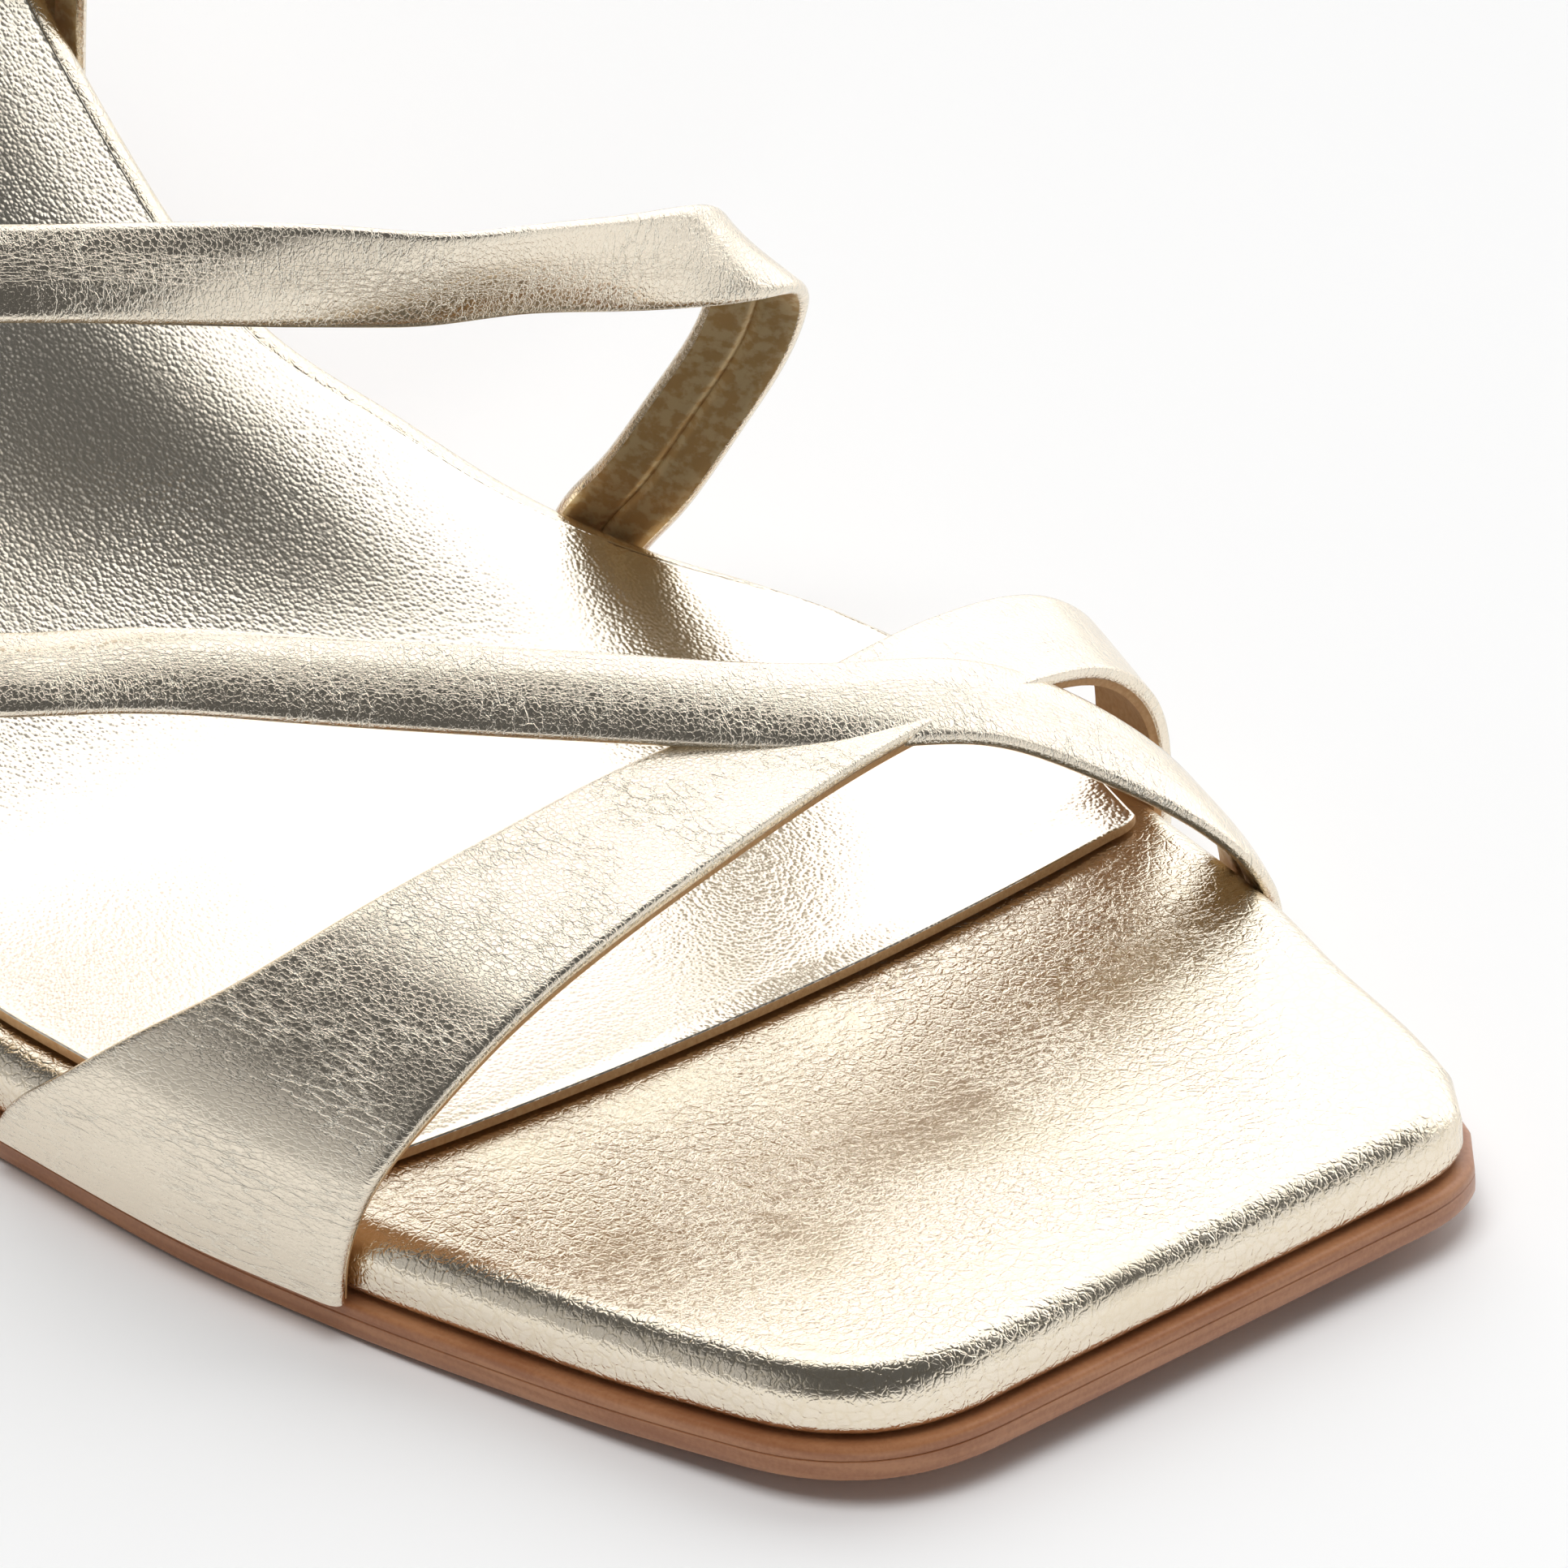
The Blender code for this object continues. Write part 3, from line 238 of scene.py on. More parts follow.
def board_edge(along, inner):
    share = np.clip(np.asarray(along, float) / INSOLE_LENGTH, 0, 1)
    edge = smooth_table(column(EDGES, 0), column(EDGES, 1 if inner else 2), np.minimum(share, 0.90))
    past = np.clip((share - SEAT_ROUND_FROM) / (1 - SEAT_ROUND_FROM), 0, 1)
    ends = [smooth_table(column(EDGES, 0), column(EDGES, k), 0.90) for k in (1, 2)]
    middle = sum(ends) / 2
    rounded = middle + (ends[0 if inner else 1] - middle) * np.sqrt(1 - past**2)
    return np.where(share > SEAT_ROUND_FROM, rounded, edge) * BALL_WIDTH


def even(line, count):
    length = np.concatenate(([0], np.cumsum(np.linalg.norm(np.diff(line, axis=0), axis=1))))
    at = np.linspace(0, length[-1], count)
    return np.stack([np.interp(at, length, line[:, k]) for k in range(line.shape[1])], axis=-1)


def outward(loop):
    step = np.roll(loop, -1, axis=0) - loop
    step = step / np.maximum(np.hypot(*step.T)[:, None], 1e-9)
    tangent = step + np.roll(step, 1, axis=0)
    tangent /= np.maximum(np.hypot(*tangent.T)[:, None], 1e-9)
    area = np.sum(loop[:, 0] * np.roll(loop[:, 1], -1) - loop[:, 1] * np.roll(loop[:, 0], -1))
    normal = np.stack([tangent[:, 1], -tangent[:, 0]], axis=-1)
    return normal if area > 0 else -normal


def side_line(inner, start, end):
    last = INSOLE_LENGTH if end is None else end
    if end is None:
        along = start + (last - start) * np.sin(np.linspace(0, 1, 320) * math.pi / 2) ** 1.3
    else:
        along = np.linspace(start, last, 260)
    return np.stack([along, board_edge(along, inner)], axis=-1)


def trimmed(side, distance):
    length = np.concatenate(([0], np.cumsum(np.hypot(*np.diff(side, axis=0).T))))
    first = [np.interp(distance, length, side[:, k]) for k in (0, 1)]
    return np.concatenate(([first], side[length > distance + 0.2 * MM]))


def rounded_corner(line_end, corner, side_start, count=17):
    t = np.linspace(0, 1, count)[:, None]
    return (1 - t) ** 2 * line_end + 2 * t * (1 - t) * corner + t**2 * side_start


def pattern_grid(front, corners, end=None, inset=0.0, bow=0.0, columns=72, rows=170):
    """Rows of flat places over a cut sole piece, closer together near its edge."""
    inner_side = side_line(True, front[1], end)
    outer_side = side_line(False, front[0], end)
    outer_corner, inner_corner = outer_side[0], inner_side[0]
    reach = inner_corner - outer_corner
    reach = reach / np.hypot(*reach)
    outer_on = outer_corner + reach * corners[0]
    inner_on = inner_corner - reach * corners[1]
    outer_from = trimmed(outer_side, corners[0])
    inner_from = trimmed(inner_side, corners[1])
    outer_arc = rounded_corner(outer_from[0], outer_corner, outer_on)
    inner_arc = rounded_corner(inner_on, inner_corner, inner_from[0])
    share = np.linspace(0, 1, 24)[1:-1, None]
    edge = share * (inner_on - outer_on) + outer_on
    edge[:, :1] -= 4 * share * (1 - share) * bow
    tail = outer_from[-2:0:-1] if end is None else outer_from[:0:-1]
    loop = np.concatenate([outer_arc, edge, inner_arc, inner_from[1:], tail])
    half = len(outer_arc) // 2
    toe, inner_at = half, len(outer_arc) + len(edge) + half
    if end is None:
        angle = np.arctan2(loop[:, 1], loop[:, 0] - INSOLE_LENGTH + 28 * MM)
        behind = np.arange(len(loop)) > inner_at
        back = int(np.argmin(np.abs(angle - math.radians(45)) + ~behind * 9))
        outer_at = int(np.argmin(np.abs(angle + math.radians(45)) + ~behind * 9))
    else:
        back = len(outer_arc) + len(edge) + len(inner_arc) + len(inner_from) - 2
        outer_at = back + 1
    loop = loop - outward(loop) * inset
    t = np.linspace(0, 1, columns + 1)
    u = (0.35 * t + 0.65 * (1 - np.cos(math.pi * t)) / 2)[:, None]

    def spaced(line):
        fine = even(line, 400)
        return np.stack([np.interp(u[:, 0] * 399, np.arange(400), fine[:, k]) for k in (0, 1)], axis=-1)

    toe_row = spaced(loop[toe : inner_at + 1])
    inner_line = loop[inner_at : back + 1]
    outer_line = np.concatenate((loop[outer_at:], loop[: toe + 1]))[::-1]
    if end is None:
        back_row = spaced(loop[back : outer_at + 1][::-1])
    else:
        back_row = spaced(np.array([loop[outer_at], loop[back]]))
    first = max(toe_row[0, 0], toe_row[-1, 0]) + 0.5 * MM
    last = min(back_row[0, 0], back_row[-1, 0]) - 0.7 * MM
    grid = [toe_row]
    for at in np.linspace(first, last, rows):
        ends = [np.array([at, np.interp(at, side[:, 0], side[:, 1])]) for side in (outer_line, inner_line)]
        row = ends[0] * (1 - u) + ends[1] * u
        for end_row, soften, away in ((toe_row, 24 * MM, at - first), (back_row, 38 * MM, last - at)):
            weight = max(0.0, 1 - away / soften) ** 2
            row = row + weight * (end_row - (end_row[:1] * (1 - u) + end_row[-1:] * u))
        grid.append(row)
    grid.append(back_row)
    return np.array(grid)


def rim_of(grid):
    rows, columns = grid.shape[0] - 1, grid.shape[1] - 1
    around = [(0, j) for j in range(columns + 1)]
    around += [(i, columns) for i in range(1, rows + 1)]
    around += [(rows, j) for j in range(columns - 1, -1, -1)]
    around += [(i, 0) for i in range(rows - 1, 0, -1)]
    return around


# making pieces

def piece(name, points, faces, finishes, finish_of, stands_for, uv=None, sharp=40):
    """A shown piece in the row frame, with one finish number for each face."""
    mesh = bpy.data.meshes.new(name)
    mesh.from_pydata([tuple(p) for p in points], [], faces)
    for finish in finishes:
        mesh.materials.append(finish)
    mesh.polygons.foreach_set("material_index", finish_of)
    if uv is not None:
        layer = mesh.uv_layers.new(name="cut")
        corners = np.zeros(len(mesh.loops) * 2)
        corners[:] = np.asarray(uv, float).reshape(-1)
        layer.data.foreach_set("uv", corners)
    work = bmesh.new()
    work.from_mesh(mesh)
    bmesh.ops.recalc_face_normals(work, faces=work.faces)
    if work.calc_volume(signed=True) < 0:
        bmesh.ops.reverse_faces(work, faces=work.faces)
    for edge in work.edges:
        if len(edge.link_faces) == 2 and edge.calc_face_angle(0) > math.radians(sharp):
            edge.smooth = False
    work.to_mesh(mesh)
    work.free()
    mesh.polygons.foreach_set("use_smooth", [True] * len(mesh.polygons))
    mesh.update()
    item = bpy.data.objects.new(name, mesh)
    bpy.context.scene.collection.objects.link(item)
    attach(item, "root")
    if stands_for:
        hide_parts(stands_for)
    return item


def distance_to_rim(grid):
    rim = np.array([grid[i, j] for i, j in rim_of(grid)])
    flat = grid.reshape(-1, 2)
    nearest = np.full(len(flat), 1.0)
    for start in range(0, len(rim), 64):
        block = rim[start : start + 64]
        far = np.linalg.norm(flat[:, None] - block[None], axis=2).min(axis=1)
        nearest = np.minimum(nearest, far)
    return nearest.reshape(grid.shape[:2])


def cut_piece(name, grid, rings, finishes, ring_finish, stands_for, relief=None, sharp=40):
    """Piece cut to a pattern. Rings run from its top edge to its foot edge, each: distance out, height."""
    rows, columns = grid.shape[:2]
    around = rim_of(grid)
    rim = np.array([grid[i, j] for i, j in around])
    out = outward(rim)
    points, faces, finish_of, layers = [], [], [], []
    for layer, (distance, height) in enumerate((rings[0], rings[-1])):
        flat = grid.copy()
        for k, (i, j) in enumerate(around):
            flat[i, j] = rim[k] + out[k] * distance
        rise = relief(flat) if relief and layer == 0 else 0.0
        layers.append(len(points))
        points.extend(bend(flat[..., 0], flat[..., 1], height + rise).reshape(-1, 3))
    for layer, start in enumerate(layers):
        for i in range(rows - 1):
            for j in range(columns - 1):
                a = start + i * columns + j
                faces.append((a, a + 1, a + columns + 1, a + columns))
                finish_of.append(ring_finish[0] if layer == 0 else ring_finish[-1])
    edges = [[layers[0] + i * columns + j for i, j in around]]
    for distance, height in rings[1:-1]:
        edges.append(list(range(len(points), len(points) + len(rim))))
        flat = rim + out * distance
        points.extend(bend(flat[:, 0], flat[:, 1], height))
    edges.append([layers[1] + i * columns + j for i, j in around])
    for ring, (upper, lower) in enumerate(zip(edges, edges[1:])):
        for k in range(len(rim)):
            n = (k + 1) % len(rim)
            faces.append((upper[k], upper[n], lower[n], lower[k]))
            finish_of.append(ring_finish[ring + 1])
    return piece(name, points, faces, finishes, finish_of, stands_for, sharp=sharp)


def through(rows, weights, count):
    """Natural cubic curve through rows, parted by the weights between them."""
    rows = np.asarray(rows, float)
    knots = np.concatenate(([0], np.cumsum(weights)))
    n = len(rows)
    step = np.diff(knots)
    matrix = np.zeros((n, n))
    right = np.zeros((n, rows.shape[1]))
    matrix[0, 0] = matrix[-1, -1] = 1
    for i in range(1, n - 1):
        matrix[i, i - 1] = step[i - 1]
        matrix[i, i] = 2 * (step[i - 1] + step[i])
        matrix[i, i + 1] = step[i]
        right[i] = 6 * ((rows[i + 1] - rows[i]) / step[i] - (rows[i] - rows[i - 1]) / step[i - 1])
    second = np.linalg.solve(matrix, right)
    at = np.linspace(0, knots[-1], count)
    i = np.clip(np.searchsorted(knots, at) - 1, 0, n - 2)
    a = ((knots[i + 1] - at) / step[i])[:, None]
    b = ((at - knots[i]) / step[i])[:, None]
    bow = ((a**3 - a) * second[i] + (b**3 - b) * second[i + 1]) * step[i][:, None] ** 2 / 6
    return a * rows[i] + b * rows[i + 1] + bow


def gaps_between(points):
    return np.linalg.norm(np.diff(points, axis=0), axis=1)


def unit(vectors):
    return vectors / np.maximum(np.linalg.norm(vectors, axis=-1, keepdims=True), 1e-12)


def foot_place(along, across, height, thick):
    along = along * INSOLE_LENGTH
    inner = board_edge(along, True) + WALL_CLEARANCE + thick / 2
    outer = board_edge(along, False) - WALL_CLEARANCE - thick / 2
    inward = (inner + outer) / 2 + across * (inner - outer) / 2
    return bend(along, inward, BOARD_TOP + height * MM)


def eased(line, reach):
    """Smooths an even line over a reach along it, its ends kept."""
    pace = gaps_between(line[:, :3]).mean()
    wide = max(1, int(round(3 * reach / pace)))
    weight = np.exp(-0.5 * (np.arange(-wide, wide + 1) * pace / reach) ** 2)
    weight /= weight.sum()
    first, last = line[:1], line[-1:]
    longer = np.concatenate((2 * first - line[wide:0:-1], line, 2 * last - line[-2 : -wide - 2 : -1]))
    return np.stack([np.convolve(longer[:, k], weight, "valid") for k in range(line.shape[1])], axis=-1)


def foot_strap_line(rows, thick, count):
    rows = np.asarray(rows, float)
    weights = gaps_between(foot_place(rows[:, 0], rows[:, 1], rows[:, 2], thick))
    fine = through(rows, weights, 1200)
    line = foot_place(fine[:, 0], fine[:, 1], fine[:, 2], thick)
    ahead = 0.5
    further = fine[:, 0] + ahead * MM / INSOLE_LENGTH
    beyond = foot_place(further, fine[:, 1], fine[:, 2] + fine[:, 3] * ahead, thick)
    tangent = unit(np.gradient(line, axis=0))
    faces = unit(np.cross(beyond - line, tangent))
    if faces[0, 1] * rows[0, 1] < 0:
        faces = -faces
    both = even(np.concatenate((line, faces * 1e-6), axis=1), count)
    line = eased(both[:, :3], LINE_EASE)
    turned = eased(np.concatenate((both[:, :3], unit(both[:, 3:])), axis=1), FACE_EASE)[:, 3:]
    return line, unit(turned)


def swept(name, rings, finishes, section_finish, stands_for, closed=False, sharp=50, face_middle=0):
    """Piece swept along rings of points, with one finish number for each strip round the section.

    The cut map lays it flat: metres along, and metres round the section from the middle of its face.
    """
    count, around = rings.shape[:2]
    length = np.concatenate(([0], np.cumsum(gaps_between(rings.mean(axis=1)))))
    wrap = np.linalg.norm(np.roll(rings, -1, axis=1) - rings, axis=2).mean(axis=0)
    wrap = np.concatenate(([0], np.cumsum(wrap)))
    wrap = wrap - wrap[face_middle]
    faces, finish_of, uv = [], [], []
    for i in range(count if closed else count - 1):
        for j in range(around):
            a, b = i * around + j, i * around + (j + 1) % around
            c, d = (i + 1) % count * around + (j + 1) % around, (i + 1) % count * around + j
            faces.append((a, b, c, d))
            finish_of.append(section_finish[j])
            end = length[min(i + 1, count - 1)]
            uv += [(length[i], wrap[j]), (length[i], wrap[j + 1]), (end, wrap[j + 1]), (end, wrap[j])]
    if not closed:
        for i in (0, count - 1):
            faces.append(tuple(range(i * around, (i + 1) * around)))
            finish_of.append(max(section_finish))
            uv += [(length[i], wrap[j]) for j in range(around)]
    points = rings.reshape(-1, 3)
    return piece(name, points, faces, finishes, finish_of, stands_for, uv, sharp)


def ribbon_rings(line, faces, width, thick, section, foot=None):
    tangent = unit(np.gradient(line, axis=0))
    normal = unit(faces - np.sum(faces * tangent, axis=1)[:, None] * tangent)
    side = np.cross(tangent, normal)
    if foot is not None:
        foot = foot * np.sign(foot @ side[0])
        length = np.concatenate(([0], np.cumsum(gaps_between(line))))
        share = np.clip(1 - length / (9 * MM), 0, 1) ** 1.5
        slant = np.sum(foot * tangent, axis=1) / np.maximum(np.sum(foot * side, axis=1), 0.3)
        side = side + tangent * (slant * share)[:, None]
    width = np.broadcast_to(width, (len(line),))
    return np.stack(
        [line + side * (u * width / 2)[:, None] + normal * v * thick / 2 for u, v, _ in section], axis=1
    )


def folded_section(width, thick, crown=0.30, seam=True):
    """Strap leather folded round a core: crowned face, rolled edges, the cut edges meeting behind.

    Each row: share of the half width, share of the half thickness, finish (0 face, 1 behind).
    """
    roll = thick / width
    rows = []
    for k in range(7):
        angle = math.pi * (0.5 - k / 7)
        edge = 1 - roll * (1 - math.cos(angle))
        rows.append((edge, math.sin(angle) * (1 - crown), 0 if k < 6 else 1))
    face = []
    for u in np.linspace(-1 + roll, 1 - roll, 19)[1:-1]:
        face.append((u, 1 - crown * (u / (1 - roll)) ** 2, 0))
    left = [(-u, v, 0) for u, v, _ in rows[::-1]]
    behind = []
    for u in np.linspace(-1 + roll, 1 - roll, 15)[1:-1]:
        groove = 0.45 * math.exp(-((u / 0.09) ** 2)) if seam else 0.0
        behind.append((u, -(1 - crown) + groove, 1))
    left[0] = (left[0][0], left[0][1], 0)
    return left + face + rows + behind[::-1]


def middle_of(section):
    """Number of the point in the middle of the face."""
    return min(range(len(section)), key=lambda k: abs(section[k][0]) + (9 if section[k][1] < 0 else 0))


def wide_section():
    """Wide strap: face leather folded in at both edges over a lining whose cut edge stays in sight."""
    rows = [(-1.0, 0.15, 0), (-0.997, 0.45, 0), (-0.985, 0.75, 0), (-0.96, 0.93, 0)]
    rows += [(u, 1.0, 0) for u in np.linspace(-0.92, 0.92, 33)]
    rows += [(0.96, 0.93, 0), (0.985, 0.75, 0), (0.997, 0.45, 0), (1.0, 0.15, 0)]
    rows += [(0.994, -0.12, 0), (0.975, -0.22, 1), (0.978, -0.75, 1), (0.965, -1.0, 1)]
    rows += [(u, -1.0, 1) for u in np.linspace(0.9, -0.9, 19)]
    rows += [(-0.965, -1.0, 1), (-0.978, -0.75, 1), (-0.975, -0.22, 0), (-0.994, -0.12, 0)]
    return rows


# finishes

def linear(hex_colour):
    """sRGB hex to linear colour."""
    values = [int(hex_colour[i : i + 2], 16) / 255 for i in (1, 3, 5)]
    return tuple(v / 12.92 if v <= 0.04045 else ((v + 0.055) / 1.055) ** 2.4 for v in values) + (1.0,)


def apart(size):
    """Scale of a pattern whose features lie this many millimetres apart."""
    return 1 / (size * MM)


def add(tree, kind, settings=None, **links):
    """Adds a node. Settings are its own options; links are its sockets by name, or i0, i1 by number."""
    node = tree.nodes.new(kind)
    for key, value in (settings or {}).items():
        setattr(node, key, value)
    for key, value in links.items():
        numbered = key[0] == "i" and key[1:].isdigit()
        socket = node.inputs[int(key[1:]) if numbered else key.replace("_", " ")]
        if isinstance(value, bpy.types.NodeSocket):
            tree.links.new(value, socket)
        else:
            socket.default_value = value
    return node


def new_finish(name, **shader_sockets):
    """A finish with its shader, where what is the same all over, such as roughness, sits on the shader."""
    made = bpy.data.materials.new(name)
    made.use_nodes = True
    shader = made.node_tree.nodes["Principled BSDF"]
    for key, value in shader_sockets.items():
        shader.inputs[key.replace("_", " ")].default_value = value
    return made, made.node_tree, shader


EASED = {"interpolation_type": "SMOOTHSTEP"}
BLEND = {"data_type": "RGBA"}
FADE = {"data_type": "FLOAT"}
TIMES_PLUS = {"operation": "MULTIPLY_ADD"}
CELL_EDGES = {"feature": "DISTANCE_TO_EDGE"}
FOIL = linear("#F2E7D4")
# darker foil: painted shade in the grain grooves, and real rubbed wear in the low patches
FOIL_RUBBED_AND_GROOVE_SHADE = linear("#EBDEC6")


def creases(tree, place, along, across, width, wander):
    """Net of creases: size of its cells, share of a cell that a crease takes, and how far it strays."""
    laid = add(tree, "ShaderNodeMapping", Vector=place, Scale=(1 / along, 1 / across, 1.0))
    drift = add(tree, "ShaderNodeTexNoise", Vector=laid.outputs[0], Scale=2.1, Detail=3.0)
    bent = add(
        tree, "ShaderNodeVectorMath", TIMES_PLUS,
        i0=drift.outputs["Color"], i1=(wander, wander, 0.0), i2=laid.outputs[0],
    )
    net = add(
        tree, "ShaderNodeTexVoronoi", {"feature": "DISTANCE_TO_EDGE", "voronoi_dimensions": "2D"},
        Vector=bent.outputs[0], Scale=1.0,
    )
    return add(tree, "ShaderNodeMapRange", EASED, Value=net.outputs["Distance"], From_Max=width).outputs[0]


def foiled_grain_leather():
    """Champagne foil pressed on natural-grain leather, for the wrapped board and heel: a soft mirror gleam
    broken by grain cells about 0.9 mm wide with finer ones between them."""
    made, tree, shader = new_finish("champagne foil on natural grain", Metallic=1.0, Roughness=0.2)
    place = add(tree, "ShaderNodeTexCoord").outputs["Object"]
    drift = add(tree, "ShaderNodeTexNoise", Vector=place, Scale=apart(1.6667), Detail=3.0)
    bent = add(
        tree, "ShaderNodeVectorMath", TIMES_PLUS,
        i0=drift.outputs["Color"], i1=(1.1 * MM, 1.1 * MM, 1.1 * MM), i2=place,
    )
    cells = add(tree, "ShaderNodeTexVoronoi", CELL_EDGES, Vector=bent.outputs[0], Scale=apart(0.9091))
    small = add(tree, "ShaderNodeTexVoronoi", CELL_EDGES, Vector=bent.outputs[0], Scale=apart(0.3846))
    patches = add(tree, "ShaderNodeTexNoise", Vector=place, Scale=apart(11.765), Detail=3.0)
    where = add(
        tree, "ShaderNodeMapRange", EASED,
        Value=patches.outputs["Fac"], From_Min=0.32, From_Max=0.66, To_Min=0.35,
    )
    grooves = add(tree, "ShaderNodeMapRange", EASED, Value=cells.outputs["Distance"], From_Max=0.16)
    fine = add(tree, "ShaderNodeMapRange", EASED, Value=small.outputs["Distance"], From_Max=0.2)
    both = add(tree, "ShaderNodeMath", TIMES_PLUS, i0=fine.outputs[0], i1=0.5, i2=grooves.outputs[0])
    raised = add(tree, "ShaderNodeMath", {"operation": "MULTIPLY"}, i0=both.outputs[0], i1=where.outputs[0])
    grain = add(tree, "ShaderNodeBump", Strength=0.6, Distance=0.04 * MM, Height=raised.outputs[0])
    waves = add(tree, "ShaderNodeTexNoise", Vector=place, Scale=apart(1.9231), Detail=2.0)
    soft = add(
        tree, "ShaderNodeBump", Strength=0.4, Distance=0.05 * MM, Height=waves.outputs["Fac"],
        Normal=grain.outputs[0],
    )
    tree.links.new(soft.outputs[0], shader.inputs["Normal"])
    # the grain grooves take the darker foil as painted shade; the low patches take it as rubbed wear
    tint = add(tree, "ShaderNodeMix", BLEND, i0=raised.outputs[0], i6=FOIL_RUBBED_AND_GROOVE_SHADE, i7=FOIL)
    tree.links.new(tint.outputs[2], shader.inputs["Base Color"])
    return made


def foiled_sock_leather():
    """The same foil on thin sock leather with a printed pebble about 0.33 mm across: paler and more even."""
    made, tree, shader = new_finish("champagne foil on pebbled sock leather", Metallic=1.0, Roughness=0.2)
    place = add(tree, "ShaderNodeTexCoord").outputs["Object"]
    pebbles = add(
        tree, "ShaderNodeTexVoronoi", {"feature": "SMOOTH_F1"},
        Vector=place, Scale=apart(0.33333), Smoothness=0.3,
    )
    patches = add(tree, "ShaderNodeTexNoise", Vector=place, Scale=apart(16.667), Detail=2.0)
    depth = add(
        tree, "ShaderNodeMapRange", EASED,
        Value=patches.outputs["Fac"], From_Min=0.3, From_Max=0.7, To_Min=0.6,
    )
    raised = add(
        tree, "ShaderNodeMath", {"operation": "MULTIPLY"},
        i0=pebbles.outputs["Distance"], i1=depth.outputs[0],
    )
    grain = add(
        tree, "ShaderNodeBump", {"invert": True}, Strength=0.5, Distance=0.08 * MM, Height=raised.outputs[0],
    )
    waves = add(tree, "ShaderNodeTexNoise", Vector=place, Scale=apart(6.25), Detail=1.0)
    soft = add(
        tree, "ShaderNodeBump", Strength=0.2, Distance=0.05 * MM, Height=waves.outputs["Fac"],
        Normal=grain.outputs[0],
    )
    tree.links.new(soft.outputs[0], shader.inputs["Normal"])
    tint = add(
        tree, "ShaderNodeMix", BLEND, i0=patches.outputs["Fac"], i6=linear("#F0E6D3"), i7=linear("#F4EDDF"),
    )
    tree.links.new(tint.outputs[2], shader.inputs["Base Color"])
    return made


def foiled_strap_leather(name, band):
    """Smoother foil leather of the straps: a fine pebble about 0.5 mm across and shallow wrinkles that run
    across the strap. Folding draws them out along the middle of a narrow one, as far from it as band says."""
    made, tree, shader = new_finish(name, Metallic=1.0, Roughness=0.16)
    place = add(tree, "ShaderNodeUVMap", {"uv_map": "cut"}).outputs[0]
    wrinkles = creases(tree, place, 1.0 * MM, 2.0 * MM, 0.12, 1.4)
    pebble = creases(tree, place, 0.45 * MM, 0.5 * MM, 0.22, 1.2)
    patches = add(tree, "ShaderNodeTexNoise", Vector=place, Scale=apart(5.8824), Detail=3.0)
    where = add(
        tree, "ShaderNodeMapRange", EASED, Value=patches.outputs["Fac"], From_Min=0.36, From_Max=0.64,
    )
    kept = add(tree, "ShaderNodeMix", FADE, i0=where.outputs[0], i2=1.0, i3=wrinkles).outputs[0]
    height = add(tree, "ShaderNodeMath", TIMES_PLUS, i0=pebble, i1=0.45, i2=kept).outputs[0]
    if band:
        drawn = creases(tree, place, 1.6 * MM, 0.36 * MM, 0.16, 1.1)
        split = add(tree, "ShaderNodeSeparateXYZ", Vector=place)
        away = add(tree, "ShaderNodeMath", {"operation": "ABSOLUTE"}, i0=split.outputs["Y"])
        wobble = add(
            tree, "ShaderNodeMath", TIMES_PLUS, i0=patches.outputs["Fac"], i1=1.6 * MM, i2=away.outputs[0],
        )
        inside = add(
            tree, "ShaderNodeMapRange", EASED,
            Value=wobble.outputs[0], From_Min=band + 1.2 * MM, From_Max=band + 0.5 * MM,
        )
        drawn = add(tree, "ShaderNodeMix", FADE, i0=inside.outputs[0], i2=1.0, i3=drawn).outputs[0]
        height = add(tree, "ShaderNodeMath", TIMES_PLUS, i0=drawn, i1=0.5, i2=height).outputs[0]
    grain = add(tree, "ShaderNodeBump", Strength=0.7, Distance=0.045 * MM, Height=height)
    waves = add(tree, "ShaderNodeTexNoise", Vector=place, Scale=apart(2.381), Detail=2.0)
    soft = add(
        tree, "ShaderNodeBump", Strength=0.4, Distance=0.05 * MM, Height=waves.outputs["Fac"],
        Normal=grain.outputs[0],
    )
    tree.links.new(soft.outputs[0], shader.inputs["Normal"])
    # the wrinkle lines take the paler foil: painted highlight along the creases
    tint = add(tree, "ShaderNodeMix", BLEND, i0=kept, i6=linear("#F6EEDD"), i7=FOIL)
    tree.links.new(tint.outputs[2], shader.inputs["Base Color"])
    return made


def turned_strap_back():
    """Back of the narrow straps, the same leather turned in: foil rubbed thin, so a duller gold-tan."""
    made, tree, shader = new_finish("rubbed gold-tan back of foil leather", Metallic=0.7, Roughness=0.42)
    place = add(tree, "ShaderNodeTexCoord").outputs["Object"]
    patches = add(
        tree, "ShaderNodeTexNoise", Vector=place, Scale=apart(1.1111), Detail=4.0, Roughness=0.55,
    )
    rubbed = add(
        tree, "ShaderNodeMapRange", EASED, Value=patches.outputs["Fac"], From_Min=0.42, From_Max=0.6,
    )
    tint = add(tree, "ShaderNodeMix", BLEND, i0=rubbed.outputs[0], i6=linear("#CBAA78"), i7=linear("#DFCAA0"))
    tree.links.new(tint.outputs[2], shader.inputs["Base Color"])
    bump = add(tree, "ShaderNodeBump", Strength=0.5, Distance=0.08 * MM, Height=patches.outputs["Fac"])
    tree.links.new(bump.outputs[0], shader.inputs["Normal"])
    return made


